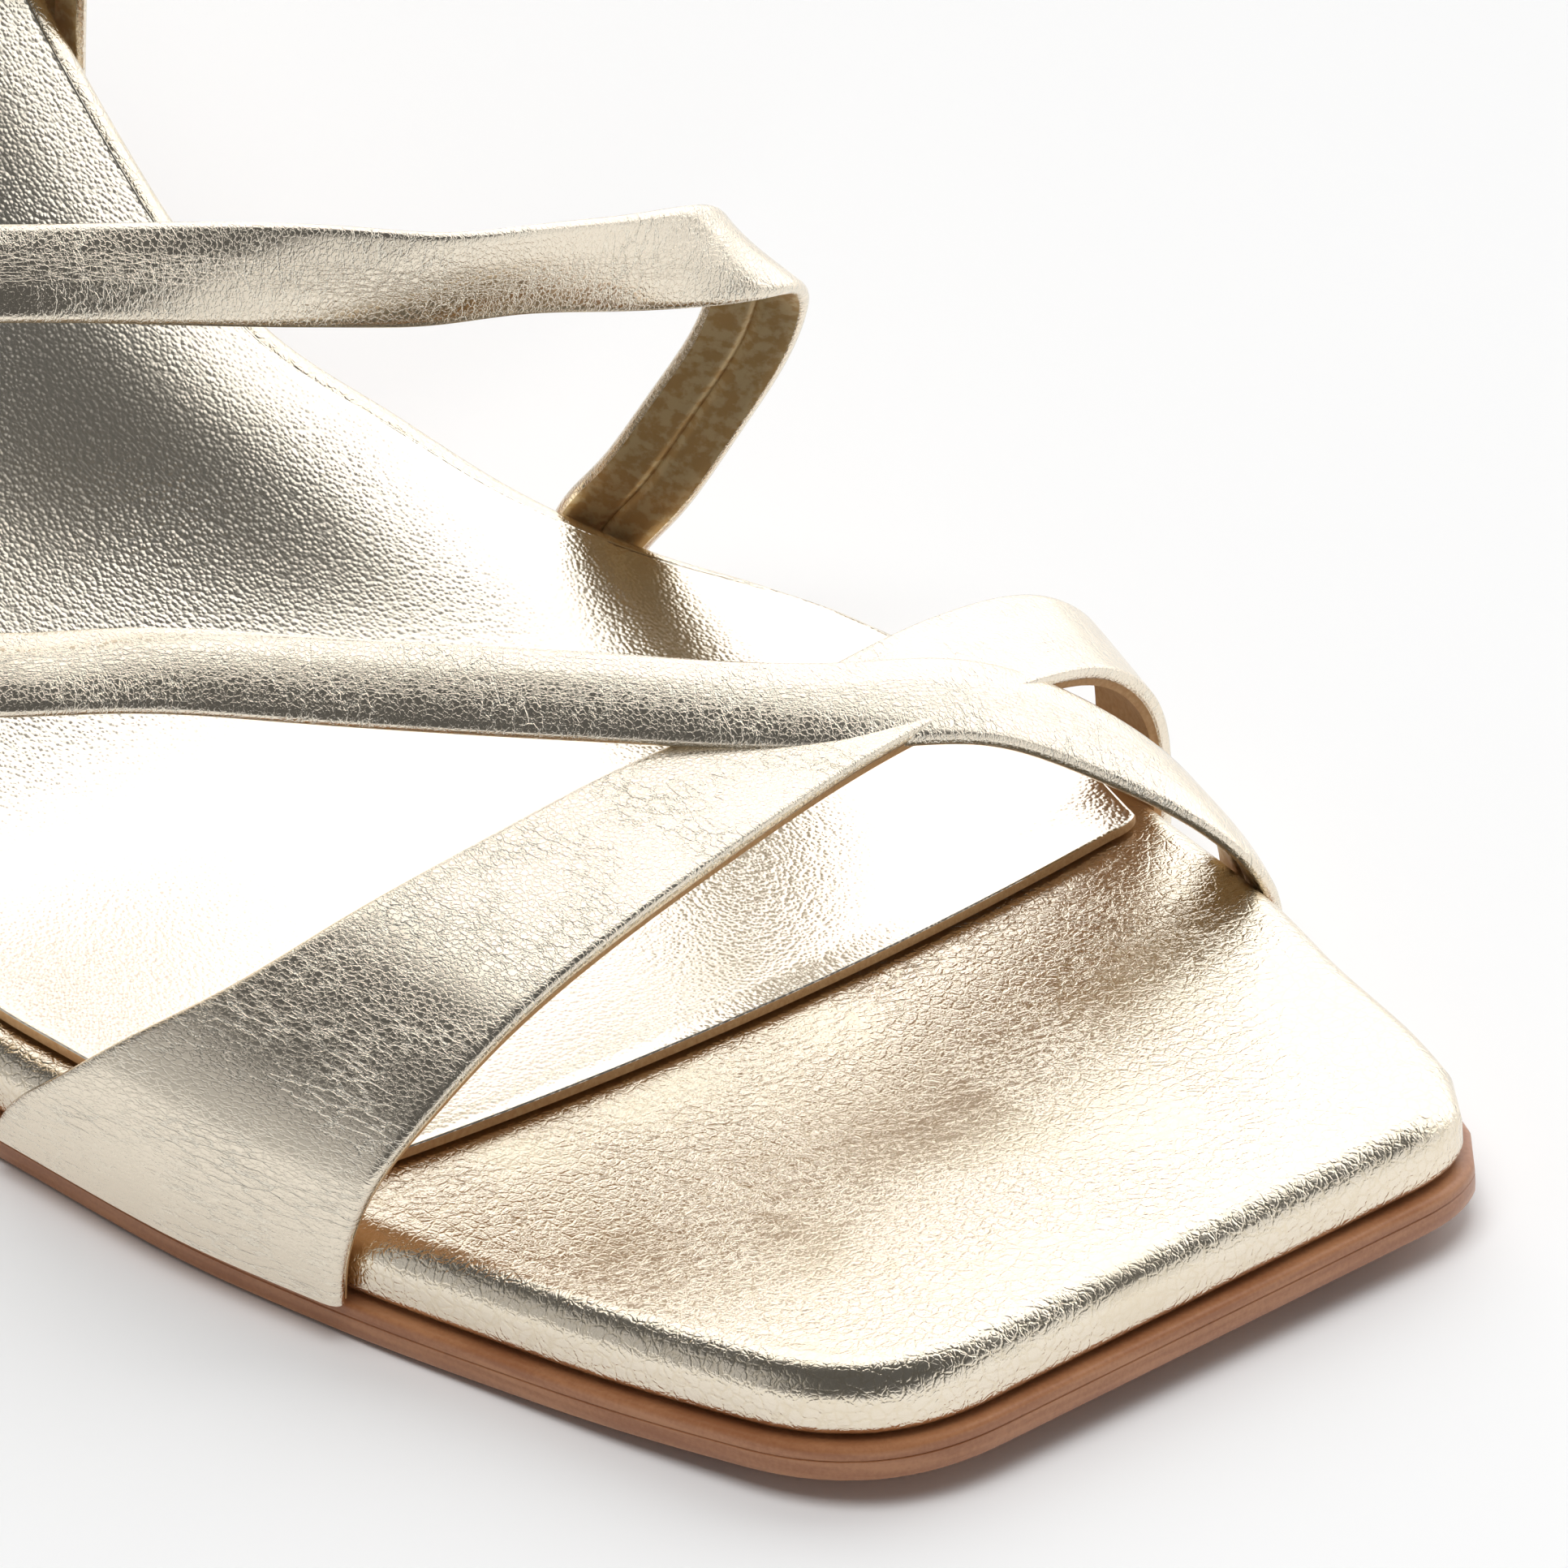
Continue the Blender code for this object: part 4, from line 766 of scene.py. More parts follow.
def tan_lining():
    """Vegetable-tanned lining and cut edges: matt tan fibre with fine flecks."""
    made, tree, shader = new_finish("cut tan lining leather", Roughness=0.62)
    place = add(tree, "ShaderNodeTexCoord").outputs["Object"]
    fibre = add(tree, "ShaderNodeTexNoise", Vector=place, Scale=apart(0.3846), Detail=3.0)
    tint = add(
        tree, "ShaderNodeMix", BLEND, i0=fibre.outputs["Fac"], i6=linear("#BA824C"), i7=linear("#E0B681"),
    )
    tree.links.new(tint.outputs[2], shader.inputs["Base Color"])
    bump = add(tree, "ShaderNodeBump", Strength=0.6, Distance=0.08 * MM, Height=fibre.outputs["Fac"])
    tree.links.new(bump.outputs[0], shader.inputs["Normal"])
    return made


def burnished_sole_leather():
    """Tan sole leather, edge set and waxed: even warm brown with a soft polish and faint fibre lines."""
    made, tree, shader = new_finish(
        "waxed tan sole leather", Roughness=0.38, Coat_Weight=0.25, Coat_Roughness=0.25,
    )
    place = add(tree, "ShaderNodeTexCoord").outputs["Object"]
    stretched = add(
        tree, "ShaderNodeMapping", Vector=place, Scale=(apart(11.111), apart(11.111), apart(0.7143)),
    )
    fibre = add(tree, "ShaderNodeTexNoise", Vector=stretched.outputs[0], Scale=1.0, Detail=4.0)
    pores = add(tree, "ShaderNodeTexNoise", Vector=place, Scale=apart(0.3125), Detail=2.0)
    mixed = add(
        tree, "ShaderNodeMath", TIMES_PLUS, i0=pores.outputs["Fac"], i1=0.4, i2=fibre.outputs["Fac"],
    )
    shade = add(tree, "ShaderNodeMapRange", EASED, Value=mixed.outputs[0], From_Min=0.45, From_Max=0.95)
    tint = add(tree, "ShaderNodeMix", BLEND, i0=shade.outputs[0], i6=linear("#9A6340"), i7=linear("#B47E57"))
    tree.links.new(tint.outputs[2], shader.inputs["Base Color"])
    bump = add(tree, "ShaderNodeBump", Strength=0.35, Distance=0.05 * MM, Height=mixed.outputs[0])
    tree.links.new(bump.outputs[0], shader.inputs["Normal"])
    return made


def heel_top_rubber():
    """Moulded tan rubber of the heel's wearing piece: matt with a faint moulded grit."""
    made, tree, shader = new_finish("moulded tan rubber", Roughness=0.7)
    place = add(tree, "ShaderNodeTexCoord").outputs["Object"]
    grit = add(tree, "ShaderNodeTexNoise", Vector=place, Scale=apart(0.2381), Detail=3.0)
    tint = add(
        tree, "ShaderNodeMix", BLEND, i0=grit.outputs["Fac"], i6=linear("#7A5034"), i7=linear("#93654A"),
    )
    tree.links.new(tint.outputs[2], shader.inputs["Base Color"])
    bump = add(tree, "ShaderNodeBump", Strength=0.4, Distance=0.06 * MM, Height=grit.outputs["Fac"])
    tree.links.new(bump.outputs[0], shader.inputs["Normal"])
    return made


def plated_buckle_metal():
    """Pale gold plating over polished zinc: bright and smooth, with faint hairline wear."""
    made, tree, shader = new_finish("pale gold plating", Metallic=1.0, Base_Color=linear("#E9D6A8"))
    place = add(tree, "ShaderNodeTexCoord").outputs["Object"]
    wear = add(tree, "ShaderNodeTexNoise", Vector=place, Scale=apart(0.6667), Detail=4.0)
    rough = add(
        tree, "ShaderNodeMapRange", EASED,
        Value=wear.outputs["Fac"], From_Min=0.35, From_Max=0.75, To_Min=0.10, To_Max=0.24,
    )
    tree.links.new(rough.outputs[0], shader.inputs["Roughness"])
    bump = add(tree, "ShaderNodeBump", Strength=0.15, Distance=0.03 * MM, Height=wear.outputs["Fac"])
    tree.links.new(bump.outputs[0], shader.inputs["Normal"])
    return made


GRAIN = foiled_grain_leather()
SOCK = foiled_sock_leather()
STRAP = foiled_strap_leather("champagne foil on fine-grained strap leather", 1.1 * MM)
WIDE_FACE = foiled_strap_leather("champagne foil on fine-grained wide strap leather", 0.0)
STRAP_BACK = turned_strap_back()
LINING = tan_lining()
SOLE = burnished_sole_leather()
RUBBER = heel_top_rubber()
PLATING = plated_buckle_metal()


# sole pieces

def smooth_bump(distance, middle, width):
    return np.exp(-(((distance - middle) / width) ** 2))


def dents(flat, rows):
    """Soft hollows and swellings, each: along, inward, reach along, reach across, height in mm."""
    rise = np.zeros(flat.shape[:-1])
    for at, side, long, wide, depth in rows:
        near = ((flat[..., 0] - at * MM) / (long * MM)) ** 2 + ((flat[..., 1] - side * MM) / (wide * MM)) ** 2
        rise = rise + depth * MM * np.exp(-near)
    return rise


def board_relief(flat):
    """Leather drawn over the board: a faint line over the board's own edge, soft hollows behind the toe."""
    away = distance_to_rim(flat)
    rise = -0.035 * MM * smooth_bump(away, 1.2 * MM, 0.35 * MM)
    rise = rise + dents(flat, ((20, 24, 11, 4.5, -0.14), (30, 12, 7, 12, -0.10), (12, -14, 5, 12, 0.05)))
    return rise * np.clip(away / (0.6 * MM), 0, 1)


def sock_relief(flat):
    """Padding under the sock: it swells along the inner side of the arch and rolls off to its edge; soft
    hollows where the foot has pressed."""
    away = distance_to_rim(flat)
    along, inward = flat[..., 0], flat[..., 1]
    rise = -0.10 * MM * np.exp(-away / (0.5 * MM))
    from_inner = np.clip(board_edge(along, True) - SOCK_MARGIN - inward, 0, 1)
    share = along / INSOLE_LENGTH
    arch = np.clip((share - 0.27) / 0.12, 0, 1) * np.clip((0.86 - share) / 0.14, 0, 1)
    arch = arch * arch * (3 - 2 * arch)
    roll = 1 - np.exp(-((from_inner / (5.0 * MM)) ** 1.5))
    fade = np.exp(-((np.maximum(from_inner - 9 * MM, 0) / (13 * MM)) ** 2))
    rise = rise + 1.0 * MM * arch * roll * fade
    return rise + dents(flat, ((88, 18, 8, 10, -0.08), (226, 0, 14, 14, -0.25)))


def make_outsole():
    grid = pattern_grid((1.0 * MM, -1.0 * MM), (10 * MM, 7 * MM), SEAT_START - OUTSOLE_SHORT - WELT)
    full, half = WELT, OUTSOLE_THICK / 2
    rings = [(0.28 * MM, OUTSOLE_THICK)]
    for angle in np.radians((80, 60, 40, 22)):
        out = full - SOLE_EDGE_ROUND * (1 - math.cos(angle))
        rings.append((out, OUTSOLE_THICK - SOLE_EDGE_ROUND * (1 - math.sin(angle))))
    rings += [(full, half + 0.62 * MM), (full, half + 0.44 * MM), (full - SOLE_LINE_DEPTH, half + 0.36 * MM)]
    rings += [(full, half + 0.28 * MM), (full, half - 0.3 * MM)]
    for angle in np.radians((22, 40, 60, 80)):
        out = full - SOLE_EDGE_ROUND * (1 - math.cos(angle))
        rings.append((out, SOLE_EDGE_ROUND * (1 - math.sin(angle))))
    rings.append((0.28 * MM, 0.0))
    return cut_piece("sole", grid, rings, [SOLE], [0] * (len(rings) + 1), "outsole")


def make_board():
    grid = pattern_grid((1.0 * MM, -1.0 * MM), (10 * MM, 7 * MM), inset=BOARD_TOP_ROUND)
    rings = []
    for angle in np.radians(np.linspace(0, 90, 13)):
        rings.append((BOARD_TOP_ROUND * math.sin(angle), BOARD_TOP - BOARD_TOP_ROUND * (1 - math.cos(angle))))
    for angle in np.radians((0, 18, 36, 54, 72, 90)):
        out = BOARD_TOP_ROUND - BOARD_FOOT_ROUND * (1 - math.cos(angle))
        rings.append((out, BOARD_FOOT + BOARD_FOOT_ROUND * (1 - math.sin(angle))))
    finish = [0] * (len(rings) + 1)
    return cut_piece(
        "wrapped_board", grid, rings, [GRAIN], finish, "insole_board", board_relief,
    )


def make_sock():
    grid = pattern_grid((43.6 * MM, 38.9 * MM), (5 * MM, 6 * MM), inset=SOCK_MARGIN, bow=2.0 * MM)
    rings = [(-0.30 * MM, SOCK_TOP), (-0.16 * MM, SOCK_TOP - 0.03 * MM), (-0.05 * MM, SOCK_TOP - 0.12 * MM)]
    rings += [(0.0, SOCK_TOP - 0.26 * MM), (0.02 * MM, SOCK_FOOT + 0.1 * MM), (0.0, SOCK_FOOT)]
    finish = [0, 0, 0, 1, 1, 1, 1]
    return cut_piece(
        "sock", grid, rings, [SOCK, LINING], finish, "insole_sock", sock_relief, sharp=60,
    )


def make_heel():
    grid = pattern_grid((SEAT_START, SEAT_START), (3 * MM, 3 * MM), inset=0.3 * MM, columns=40, rows=30)
    rows, columns = grid.shape[:2]
    around = rim_of(grid)
    top = bend(grid[..., 0], grid[..., 1], OUTSOLE_THICK)
    rim = np.array([top[i, j] for i, j in around])
    flat = np.array([grid[i, j] for i, j in around])
    middle = (flat.max(axis=0) + flat.min(axis=0)) / 2
    half = (flat.max(axis=0) - flat.min(axis=0)) / 2
    share = (flat - middle) / half

    def tip_ring(height, grow=0.0):
        ring = np.stack([
            -HEEL_TIP_BEHIND_TOE - share[:, 0] * (TOP_PIECE_LENGTH / 2 + grow),
            share[:, 1] * (TOP_PIECE_WIDTH / 2 + grow),
            np.full(len(share), height),
        ], axis=-1)
        return ring - FOOTPRINT_MIDDLE

    tip = tip_ring(TOP_PIECE_THICK + GAP)
    drop = rim[:, 2:] - (TOP_PIECE_THICK + GAP)
    down = np.array([0, 0, 1.0])
    taper = np.stack([-share[:, 0], share[:, 1], 0 * share[:, 0]], axis=-1)
    upper_hand = rim - down * drop * 0.30
    lower_hand = tip + down * drop * 0.62 + taper * 1.6 * MM
    points = list(top.reshape(-1, 3))
    faces = []
    for i in range(rows - 1):
        for j in range(columns - 1):
            a = i * columns + j
            faces.append((a, a + 1, a + columns + 1, a + columns))
    above = [i * columns + j for i, j in around]
    for t in np.linspace(0, 1, 61)[1:]:
        ring = (1 - t) ** 3 * rim + 3 * (1 - t) ** 2 * t * upper_hand
        ring = ring + 3 * (1 - t) * t**2 * lower_hand + t**3 * tip
        here = list(range(len(points), len(points) + len(ring)))
        points.extend(ring)
        for k in range(len(ring)):
            after = (k + 1) % len(ring)
            faces.append((above[k], above[after], here[after], here[k]))
        above = here
    faces.append(tuple(above))
    piece("covered_heel", points, faces, [GRAIN], [0] * len(faces), "heel", sharp=50)

    rings = [tip_ring(z * MM, grow * MM) for z, grow in (
        (5.5, -0.25), (5.42, -0.08), (5.25, 0.0), (4.2, 0.0), (4.05, -0.08), (3.9, 0.0), (0.35, 0.0),
        (0.12, -0.08), (0.0, -0.3),
    )]
    n = len(share)
    points = np.concatenate(rings)
    faces = [tuple(range(n)), tuple(range((len(rings) - 1) * n, len(rings) * n))]
    for r in range(len(rings) - 1):
        upper, lower = r * n, (r + 1) * n
        faces += [(upper + k, upper + (k + 1) % n, lower + (k + 1) % n, lower + k) for k in range(n)]
    piece("wearing_piece", points, faces, [RUBBER], [0] * len(faces), "heel_top_piece", sharp=60)


# straps over the foot

def make_wide_strap():
    rows = np.asarray(WIDE_STRAP, float)
    middle = (rows[:, :3] + rows[:, 3:]) / 2
    weights = gaps_between(foot_place(middle[:, 0], middle[:, 1], middle[:, 2], WIDE_STRAP_THICK))
    fine = through(rows, weights, 900)
    middle = (fine[:, :3] + fine[:, 3:]) / 2
    line = foot_place(middle[:, 0], middle[:, 1], middle[:, 2], WIDE_STRAP_THICK)
    length = np.concatenate(([0], np.cumsum(gaps_between(line))))
    at = np.linspace(0, length[-1], 180)
    fine = np.stack([np.interp(at, length, fine[:, k]) for k in range(6)], axis=-1)
    section = wide_section()
    shown = {}
    for u in sorted({u for u, _, _ in section}):
        mixed = fine[:, :3] * (1 - u) / 2 + fine[:, 3:] * (1 + u) / 2
        shown[u] = foot_place(mixed[:, 0], mixed[:, 1], mixed[:, 2], WIDE_STRAP_THICK)
    edge = sorted(shown)
    tangent = unit(np.gradient((shown[edge[0]] + shown[edge[-1]]) / 2, axis=0))
    normal = unit(np.cross(shown[1.0] - shown[-1.0], tangent))
    if normal[0, 1] > 0:
        normal = -normal
    rings = np.stack([shown[u] + normal * v * WIDE_STRAP_THICK / 2 for u, v, _ in section], axis=1)
    finish = [f for _, _, f in section]
    return swept(
        "wide_strap", rings, [WIDE_FACE, LINING], finish, "vamp_straps",
        face_middle=middle_of(section),
    )


def make_foot_strap(name, rows, count, stands_for):
    line, faces = foot_strap_line(rows, STRAP_THICK, count)
    section = folded_section(STRAP_WIDTH, STRAP_THICK)
    rings = ribbon_rings(line, faces, STRAP_WIDTH, STRAP_THICK, section)
    finish = [f for _, _, f in section]
    return swept(
        name, rings, [STRAP, STRAP_BACK], finish, stands_for,
        face_middle=middle_of(section),
    )


# back strap, buckle strap, keeper and buckle

def seat_back():
    return bend(INSOLE_LENGTH, 0.0, BOARD_TOP)


def anchor(along, across, thick, heights=(-5.0, -1.5, 2.5)):
    heights = np.asarray(heights, float)
    alongs = along + (heights - heights[0]) * MM * ANCHOR_LEAN / INSOLE_LENGTH
    acrosses = np.full(len(heights), float(across))
    here = foot_place(alongs, acrosses, heights, thick)
    ahead = foot_place(alongs + 0.01, acrosses, heights, thick)
    upward = foot_place(alongs, acrosses, heights + 10.0, thick)
    out = unit(np.cross(ahead - here, upward - here))
    return here, out * np.sign(out[:, 1:2]) * np.sign(across), unit(ahead - here)[0]


def buckle_axes():
    bar = seat_back() + np.array(BUCKLE_AT) * MM
    up = unit(np.array(BUCKLE_LINE, float))
    out = np.array([0.0, -1.0, 0.0])
    out = unit(out - up * (out @ up))
    return bar, up, np.cross(up, out), out


def in_buckle(points):
    bar, up, across, out = buckle_axes()
    points = np.asarray(points, float)
    return bar + points[:, :1] * up + points[:, 1:2] * across + points[:, 2:] * out


def lateral_levels():
    fold = WIRE_RADIUS + GAP + BUCKLE_STRAP_THICK / 2
    over = fold + BUCKLE_STRAP_THICK / 2 + GAP + BACK_STRAP_THICK / 2
    under = FRAME_LIFT - WIRE_RADIUS - GAP - BACK_STRAP_THICK / 2
    return fold, over, under


def outward_from_ankle(place):
    forward = (place - seat_back())[0]
    ahead = np.clip((forward - 30 * MM) / (40 * MM), 0, 1)
    out = (place - seat_back()) * np.array([1, 1, 0]) - np.array([26 * MM, 0, 0])
    return unit(unit(out) * (1 - ahead) + np.array([0, np.sign(place[1] + FOOTPRINT_MIDDLE[1]), 0]) * ahead)


def slot_through(item, first, second, third):
    """Cuts a slot, given up the strap, across it and out of it."""
    corners = in_buckle([(a, b, c) for a in first for b in second for c in third])
    mesh = bpy.data.meshes.new("slot")
    faces = [(0, 1, 3, 2), (4, 6, 7, 5), (0, 4, 5, 1), (2, 3, 7, 6), (0, 2, 6, 4), (1, 5, 7, 3)]
    mesh.from_pydata([tuple(c) for c in corners], [], faces)
    work = bmesh.new()
    work.from_mesh(mesh)
    bmesh.ops.recalc_face_normals(work, faces=work.faces)
    if work.calc_volume(signed=True) < 0:
        bmesh.ops.reverse_faces(work, faces=work.faces)
    work.to_mesh(mesh)
    work.free()
    cutter = bpy.data.objects.new("slot", mesh)
    bpy.context.scene.collection.objects.link(cutter)
    cut = item.modifiers.new("slot", "BOOLEAN")
    cut.operation, cut.solver, cut.object = "DIFFERENCE", "EXACT", cutter
    bpy.context.view_layer.update()
    graph = bpy.context.evaluated_depsgraph_get()
    done = bpy.data.meshes.new_from_object(item.evaluated_get(graph))
    item.modifiers.clear()
    item.data = done
    bpy.data.objects.remove(cutter, do_unlink=True)


def make_back_strap():
    _, over, under = lateral_levels()
    foot, foot_out, foot_cut = anchor(INNER_ANCHOR, 1.0, BACK_STRAP_THICK)
    rows = seat_back() + np.array(BACK_STRAP, float) * MM
    rows_out = np.array([outward_from_ankle(row) for row in rows])
    down = in_buckle([
        (FRAME_LENGTH + 14 * MM, 0, under - 0.6 * MM), (FRAME_LENGTH + 4 * MM, 0, under),
        (FRAME_LENGTH, 0, under), (2.5 * MM, 0, over - 0.15 * MM), (-2.0 * MM, 0, over),
        (-10 * MM, 0, over), (-20 * MM, 0, over), (-TIP_LENGTH, 0, over),
    ])
    out = buckle_axes()[3]
    controls = np.concatenate((foot, rows, down))
    outs = np.concatenate((foot_out, unit(rows_out), np.tile(out, (len(down), 1))))
    weights = gaps_between(controls)
    line = through(controls, weights, 1200)
    outs = unit(through(outs, weights, 1200))
    count = 300
    both = even(np.concatenate((line, outs * 1e-6), axis=1), count)
    line, outs = both[:, :3], unit(both[:, 3:])
    to_end = np.arange(count)[::-1] * gaps_between(line).mean()
    width = BACK_STRAP_WIDTH * np.sqrt(np.clip(1 - (1 - np.clip(to_end / (4.2 * MM), 0, 1)) ** 2, 0.12, 1))
    section = folded_section(BACK_STRAP_WIDTH, BACK_STRAP_THICK)
    rings = ribbon_rings(line, outs, width, BACK_STRAP_THICK, section, foot_cut)
    finish = [f for _, _, f in section]
    strap = swept(
        "ankle_strap", rings, [STRAP, STRAP_BACK], finish, "back_strap",
        face_middle=middle_of(section),
    )
    slot_through(strap, (1.6 * MM, 6.8 * MM), (-1.0 * MM, 1.0 * MM), (-4 * MM, 8 * MM))


def make_buckle_strap():
    fold, _, _ = lateral_levels()
    foot, foot_out, foot_cut = anchor(OUTER_ANCHOR, -1.0, BUCKLE_STRAP_THICK)
    rows = seat_back() + np.array(BUCKLE_STRAP, float) * MM
    rows_out = np.array([outward_from_ankle(row) for row in rows])
    angles = np.linspace(math.pi / 2, -math.pi / 2, 9)
    turn = [(fold * math.cos(a), 0, fold * math.sin(a)) for a in angles]
    path = [(-29 * MM, 0, fold), (-19 * MM, 0, fold), (-9 * MM, 0, fold), (-4 * MM, 0, fold)] + turn
    path += [(-4 * MM, 0, -fold), (-9 * MM, 0, -fold)]
    bar, up, _, out = buckle_axes()
    outs = [out] * 4 + [math.sin(a) * out + math.cos(a) * up for a in angles] + [-out] * 2
    controls = np.concatenate((foot, rows, in_buckle(path)))
    outs = np.concatenate((foot_out, rows_out, np.array(outs)))
    weights = gaps_between(controls)
    line = through(controls, weights, 1200)
    outs = unit(through(outs, weights, 1200))
    near = np.linalg.norm(line - bar, axis=1) < 2.2 * fold
    pace = np.concatenate(([0], np.cumsum(gaps_between(line) * np.where(near[1:], 3.5, 1.0))))
    at = np.linspace(0, pace[-1], 150)
    line = np.stack([np.interp(at, pace, line[:, k]) for k in range(3)], axis=-1)
    outs = unit(np.stack([np.interp(at, pace, outs[:, k]) for k in range(3)], axis=-1))
    section = folded_section(BUCKLE_STRAP_WIDTH, BUCKLE_STRAP_THICK)
    rings = ribbon_rings(line, outs, BUCKLE_STRAP_WIDTH, BUCKLE_STRAP_THICK, section, foot_cut)
    finish = [f for _, _, f in section]
    strap = swept(
        "buckle_tab", rings, [STRAP, STRAP_BACK], finish, "buckle_strap",
        face_middle=middle_of(section),
    )
    slot_through(strap, (-3.0 * MM, 6 * MM), (-1.1 * MM, 1.1 * MM), (-4 * MM, 5 * MM))


def wire(name, line, radius, stands_for, sides=20, closed=False):
    if closed:
        tangent = unit(np.roll(line, -1, axis=0) - np.roll(line, 1, axis=0))
    else:
        tangent = unit(np.gradient(line, axis=0))
    across = buckle_axes()[2 if not closed else 3]
    normal = unit(across - np.sum(tangent * across, axis=1)[:, None] * tangent)
    side = np.cross(tangent, normal)
    radius = np.broadcast_to(radius, (len(line),))[:, None]
    rings = []
    for k in range(sides):
        angle = 2 * math.pi * k / sides
        rings.append(line + radius * (math.cos(angle) * normal + math.sin(angle) * side))
    return swept(name, np.stack(rings, axis=1), [PLATING], [0] * sides, stands_for, closed)


def make_buckle():
    half = FRAME_OPENING / 2 + WIRE_RADIUS
    corner = 1.8 * MM
    flat = []
    for middle_s, middle_w, start in (
        (FRAME_LENGTH - corner, half - corner, 0), (corner, half - corner, 90),
        (corner, -half + corner, 180), (FRAME_LENGTH - corner, -half + corner, 270),
    ):
        for k in range(13):
            angle = math.radians(start + 90 * k / 12)
            flat.append((middle_s + corner * math.cos(angle), middle_w + corner * math.sin(angle)))
        if start in (0, 180):
            side = 1 if start == 0 else -1
            flat += [(FRAME_LENGTH * (0.5 + side * t), side * half) for t in (0.15, 0.0, -0.15)]
    points = [(s, w, FRAME_LIFT * max(0.0, s / FRAME_LENGTH) ** 1.5) for s, w in flat]
    wire("buckle_wire", in_buckle(points), WIRE_RADIUS, "buckle_frame", closed=True)

    hold = WIRE_RADIUS + GAP + PRONG_RADIUS
    angles = np.radians(np.linspace(-200, 60, 14))
    path = [(hold * math.cos(a), 0, hold * math.sin(a)) for a in angles]
    rest = FRAME_LIFT + WIRE_RADIUS + GAP + PRONG_RADIUS
    path += [(2.6 * MM, 0, 2.0 * MM), (4.6 * MM, 0, rest - 0.4 * MM), (7.0 * MM, 0, rest + 0.2 * MM)]
    path += [(FRAME_LENGTH, 0, rest + 0.1 * MM), (FRAME_LENGTH + 1.8 * MM, 0, rest - 0.2 * MM)]
    path = np.array(path)
    line = even(through(path, gaps_between(path), 600), 90)
    radius = np.full(90, PRONG_RADIUS)
    radius[-6:] *= np.sqrt(np.linspace(1, 0.06, 6))
    wire("buckle_pin", in_buckle(line), radius, "buckle_prong", 14)


def make_keeper():
    fold, over, _ = lateral_levels()
    low = fold - BUCKLE_STRAP_THICK / 2 - GAP - KEEPER_THICK / 2
    high = over + BACK_STRAP_THICK / 2 + GAP + KEEPER_THICK / 2
    half = BACK_STRAP_WIDTH / 2 + GAP + KEEPER_THICK / 2
    corner = 0.9 * MM
    section = [(-0.5, 0.2, 0), (-0.48, 0.36, 0), (-0.42, 0.46, 0), (-0.3, 0.5, 0), (0.0, 0.5, 0)]
    section += [(0.3, 0.5, 0), (0.42, 0.46, 0), (0.48, 0.36, 0), (0.5, 0.2, 0)]
    section += [(0.5, -0.5, 1), (-0.5, -0.5, 1)]
    rings = []
    for middle_w, middle_n, start in (
        (half - corner, high - corner, 0), (-half + corner, high - corner, 90),
        (-half + corner, low + corner, 180), (half - corner, low + corner, 270),
    ):
        for k in range(9):
            angle = math.radians(start + 90 * k / 8)
            out_w, out_n = math.cos(angle), math.sin(angle)
            ring = []
            for along, away, _ in section:
                reach = corner + away * KEEPER_THICK
                up = -KEEPER_BELOW_BAR + along * KEEPER_WIDTH
                ring.append((up, middle_w + reach * out_w, middle_n + reach * out_n))
            rings.append(in_buckle(ring))
    finish = [f for _, _, f in section]
    swept("strap_keeper", np.array(rings), [STRAP, LINING], finish, "keeper", True)


# studio

FLOOR_REACH = 3.0
FLOOR_BELOW = 0.2 * MM
# panels round the shoe as it sees them: azimuth, elevation, half width, half height, turn, softness, light
# angles in degrees; the first is the bright wall behind the shoe, as the camera sees it
PANELS = (
    (116, 29, 50, 40, 23, 0.10, 1.6),
    (30, 5, 33, 20, 0, 0.3, 0.85),
    (-118, 18, 28, 24, 0, 0.5, 0.5),
)
ROOM = 0.10
HORIZON = 0.32
# light from overhead, for the floor and the matt pieces
KEY_PLACE = (0.25, -0.45, 2.3)
KEY_TARGET = (0.03, 0.0, 0.0)
KEY_WIDE = 1.5
KEY_POWER = 30.0
# view of the photograph: angles in degrees, distance and width of the picture at the target
VIEW_AZIMUTH = 48
VIEW_ELEVATION = 33
VIEW_AWAY = 1.0
VIEW_WIDE = 105 * MM
VIEW_TARGET = Vector((78.91, -5.88, 34.84)) * MM
SENSOR_WIDE = 36.0


def make_floor():
    mesh = bpy.data.meshes.new("studio_floor")
    corners = [(x * FLOOR_REACH, y * FLOOR_REACH, 0) for x, y in ((-1, -1), (1, -1), (1, 1), (-1, 1))]
    mesh.from_pydata(corners, [], [(0, 1, 2, 3)])
    floor = bpy.data.objects.new("studio_floor", mesh)
    bpy.context.scene.collection.objects.link(floor)
    made, tree, shader = new_finish(
        "matt white paper", Base_Color=linear("#F8F8F8"), Roughness=0.9, Specular_IOR_Level=0.1,
    )
    place = add(tree, "ShaderNodeTexCoord").outputs["Object"]
    fibre = add(tree, "ShaderNodeTexNoise", Vector=place, Scale=apart(1.1111), Detail=2.0)
    bump = add(tree, "ShaderNodeBump", Strength=0.04, Distance=0.2 * MM, Height=fibre.outputs["Fac"])
    tree.links.new(bump.outputs[0], shader.inputs["Normal"])
    mesh.materials.append(made)
    floor.location.z = -FLOOR_BELOW


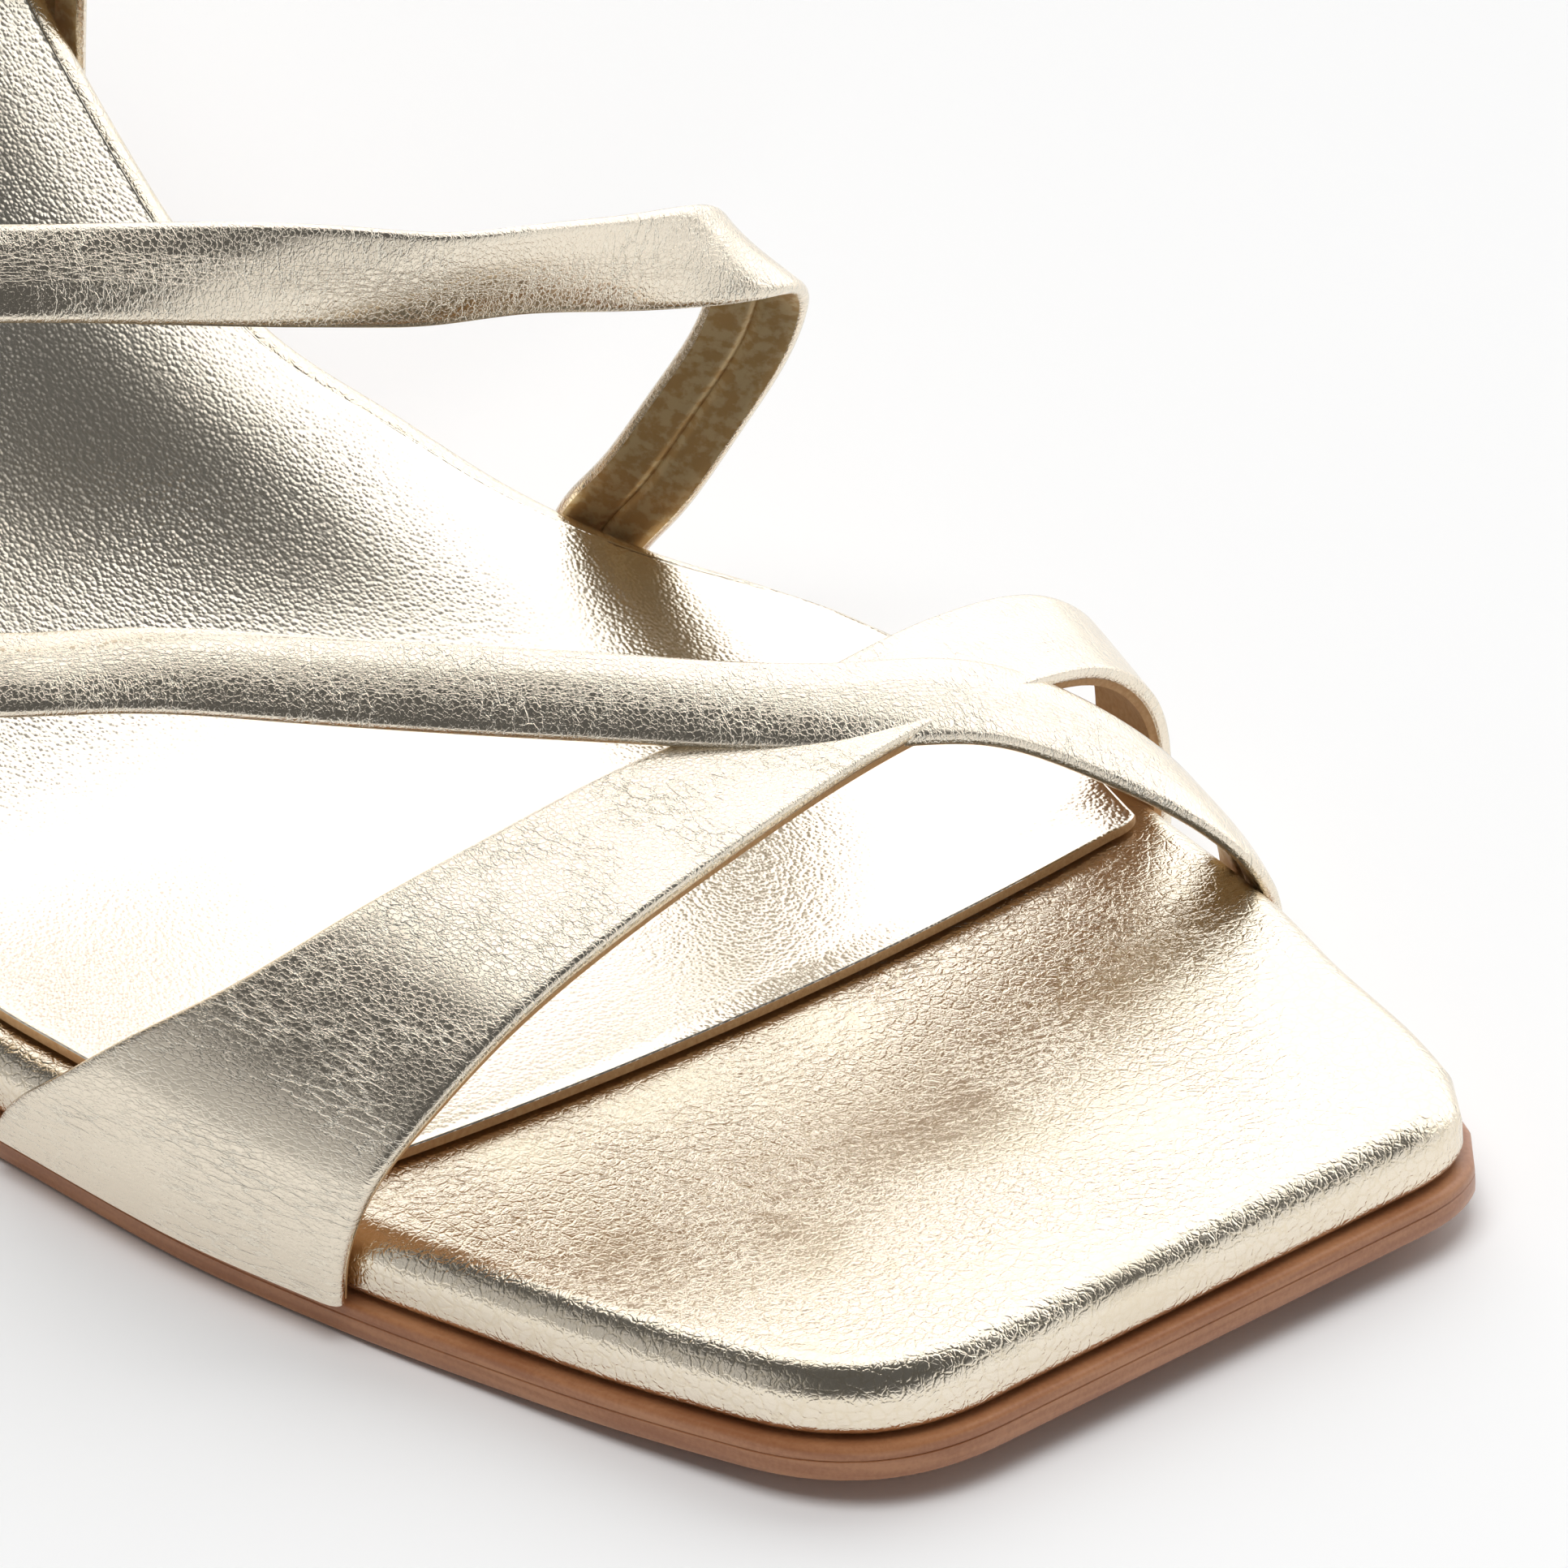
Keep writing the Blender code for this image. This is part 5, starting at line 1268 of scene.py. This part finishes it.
def make_studio_light():
    """Soft panels in a dim room that is paler toward the horizon."""
    world = bpy.data.worlds.new("studio")
    bpy.context.scene.world = world
    world.use_nodes = True
    tree = world.node_tree
    background = tree.nodes["Background"]
    toward = add(tree, "ShaderNodeTexCoord").outputs["Generated"]
    split = add(tree, "ShaderNodeSeparateXYZ", Vector=toward)
    light = add(
        tree, "ShaderNodeMapRange", EASED,
        Value=split.outputs["Z"], From_Min=0.26, From_Max=0.06, To_Min=ROOM, To_Max=HORIZON,
    ).outputs[0]
    for azimuth, elevation, wide, tall, turned, soft, strength in PANELS:
        a, e, t = (math.radians(angle) for angle in (azimuth, elevation, turned))
        middle = Vector((math.cos(e) * math.cos(a), math.cos(e) * math.sin(a), math.sin(e)))
        level = Vector((-math.sin(a), math.cos(a), 0))
        side = level * math.cos(t) + middle.cross(level) * math.sin(t)
        parts = [
            add(tree, "ShaderNodeVectorMath", {"operation": "DOT_PRODUCT"}, i0=toward, i1=axis).outputs[1]
            for axis in (middle, side, middle.cross(side))
        ]
        turn = add(tree, "ShaderNodeMath", {"operation": "ARCTAN2"}, i0=parts[1], i1=parts[0])
        rise = add(tree, "ShaderNodeMath", {"operation": "ARCSINE"}, i0=parts[2])
        shares = []
        for angle, half in ((turn, wide), (rise, tall)):
            share = add(
                tree, "ShaderNodeMath", {"operation": "DIVIDE"}, i0=angle.outputs[0], i1=math.radians(half),
            )
            far = add(tree, "ShaderNodeMath", {"operation": "ABSOLUTE"}, i0=share.outputs[0])
            far = add(tree, "ShaderNodeMath", {"operation": "POWER"}, i0=far.outputs[0], i1=4.0)
            shares.append(far.outputs[0])
        both = add(tree, "ShaderNodeMath", {"operation": "ADD"}, i0=shares[0], i1=shares[1])
        size = add(tree, "ShaderNodeMath", {"operation": "POWER"}, i0=both.outputs[0], i1=0.25)
        mask = add(
            tree, "ShaderNodeMapRange", EASED, Value=size.outputs[0], From_Min=1 + soft, From_Max=1 - soft,
        )
        light = add(tree, "ShaderNodeMix", FADE, i0=mask.outputs[0], i2=light, i3=strength).outputs[0]
    tree.links.new(light, background.inputs["Strength"])
    background.inputs["Color"].default_value = (1.0, 1.0, 1.0, 1.0)


def make_key_light():
    """A large lamp that lights the floor and matt pieces but isn't mirrored in the foil."""
    data = bpy.data.lights.new("key", "AREA")
    data.shape = "RECTANGLE"
    data.size = data.size_y = KEY_WIDE
    data.energy = KEY_POWER
    lamp = bpy.data.objects.new("key", data)
    bpy.context.scene.collection.objects.link(lamp)
    lamp.location = KEY_PLACE
    lamp.rotation_euler = (Vector(KEY_TARGET) - Vector(KEY_PLACE)).to_track_quat("-Z", "Y").to_euler()
    lamp.visible_glossy = False


def make_camera():
    azimuth, elevation = math.radians(VIEW_AZIMUTH), math.radians(VIEW_ELEVATION)
    level = math.cos(elevation)
    back = Vector((math.sin(azimuth) * level, -math.cos(azimuth) * level, math.sin(elevation)))
    data = bpy.data.cameras.new("camera")
    data.sensor_width = SENSOR_WIDE
    data.lens = SENSOR_WIDE * VIEW_AWAY / VIEW_WIDE
    data.clip_start = 0.01
    camera = bpy.data.objects.new("camera", data)
    bpy.context.scene.collection.objects.link(camera)
    camera.location = VIEW_TARGET + back * VIEW_AWAY
    camera.rotation_euler = (-back).to_track_quat("-Z", "Y").to_euler()
    bpy.context.scene.camera = camera


make_camera()
make_outsole()
make_board()
make_sock()
make_heel()
make_wide_strap()
make_foot_strap("crossing_strap", CROSSING_STRAP, 200, "vamp_straps")
make_foot_strap("instep_strap_folded", INSTEP_STRAP, 240, "instep_strap")
make_back_strap()
make_buckle_strap()
make_buckle()
make_keeper()
make_floor()
make_studio_light()
make_key_light()
bpy.context.scene.view_settings.view_transform = "Standard"
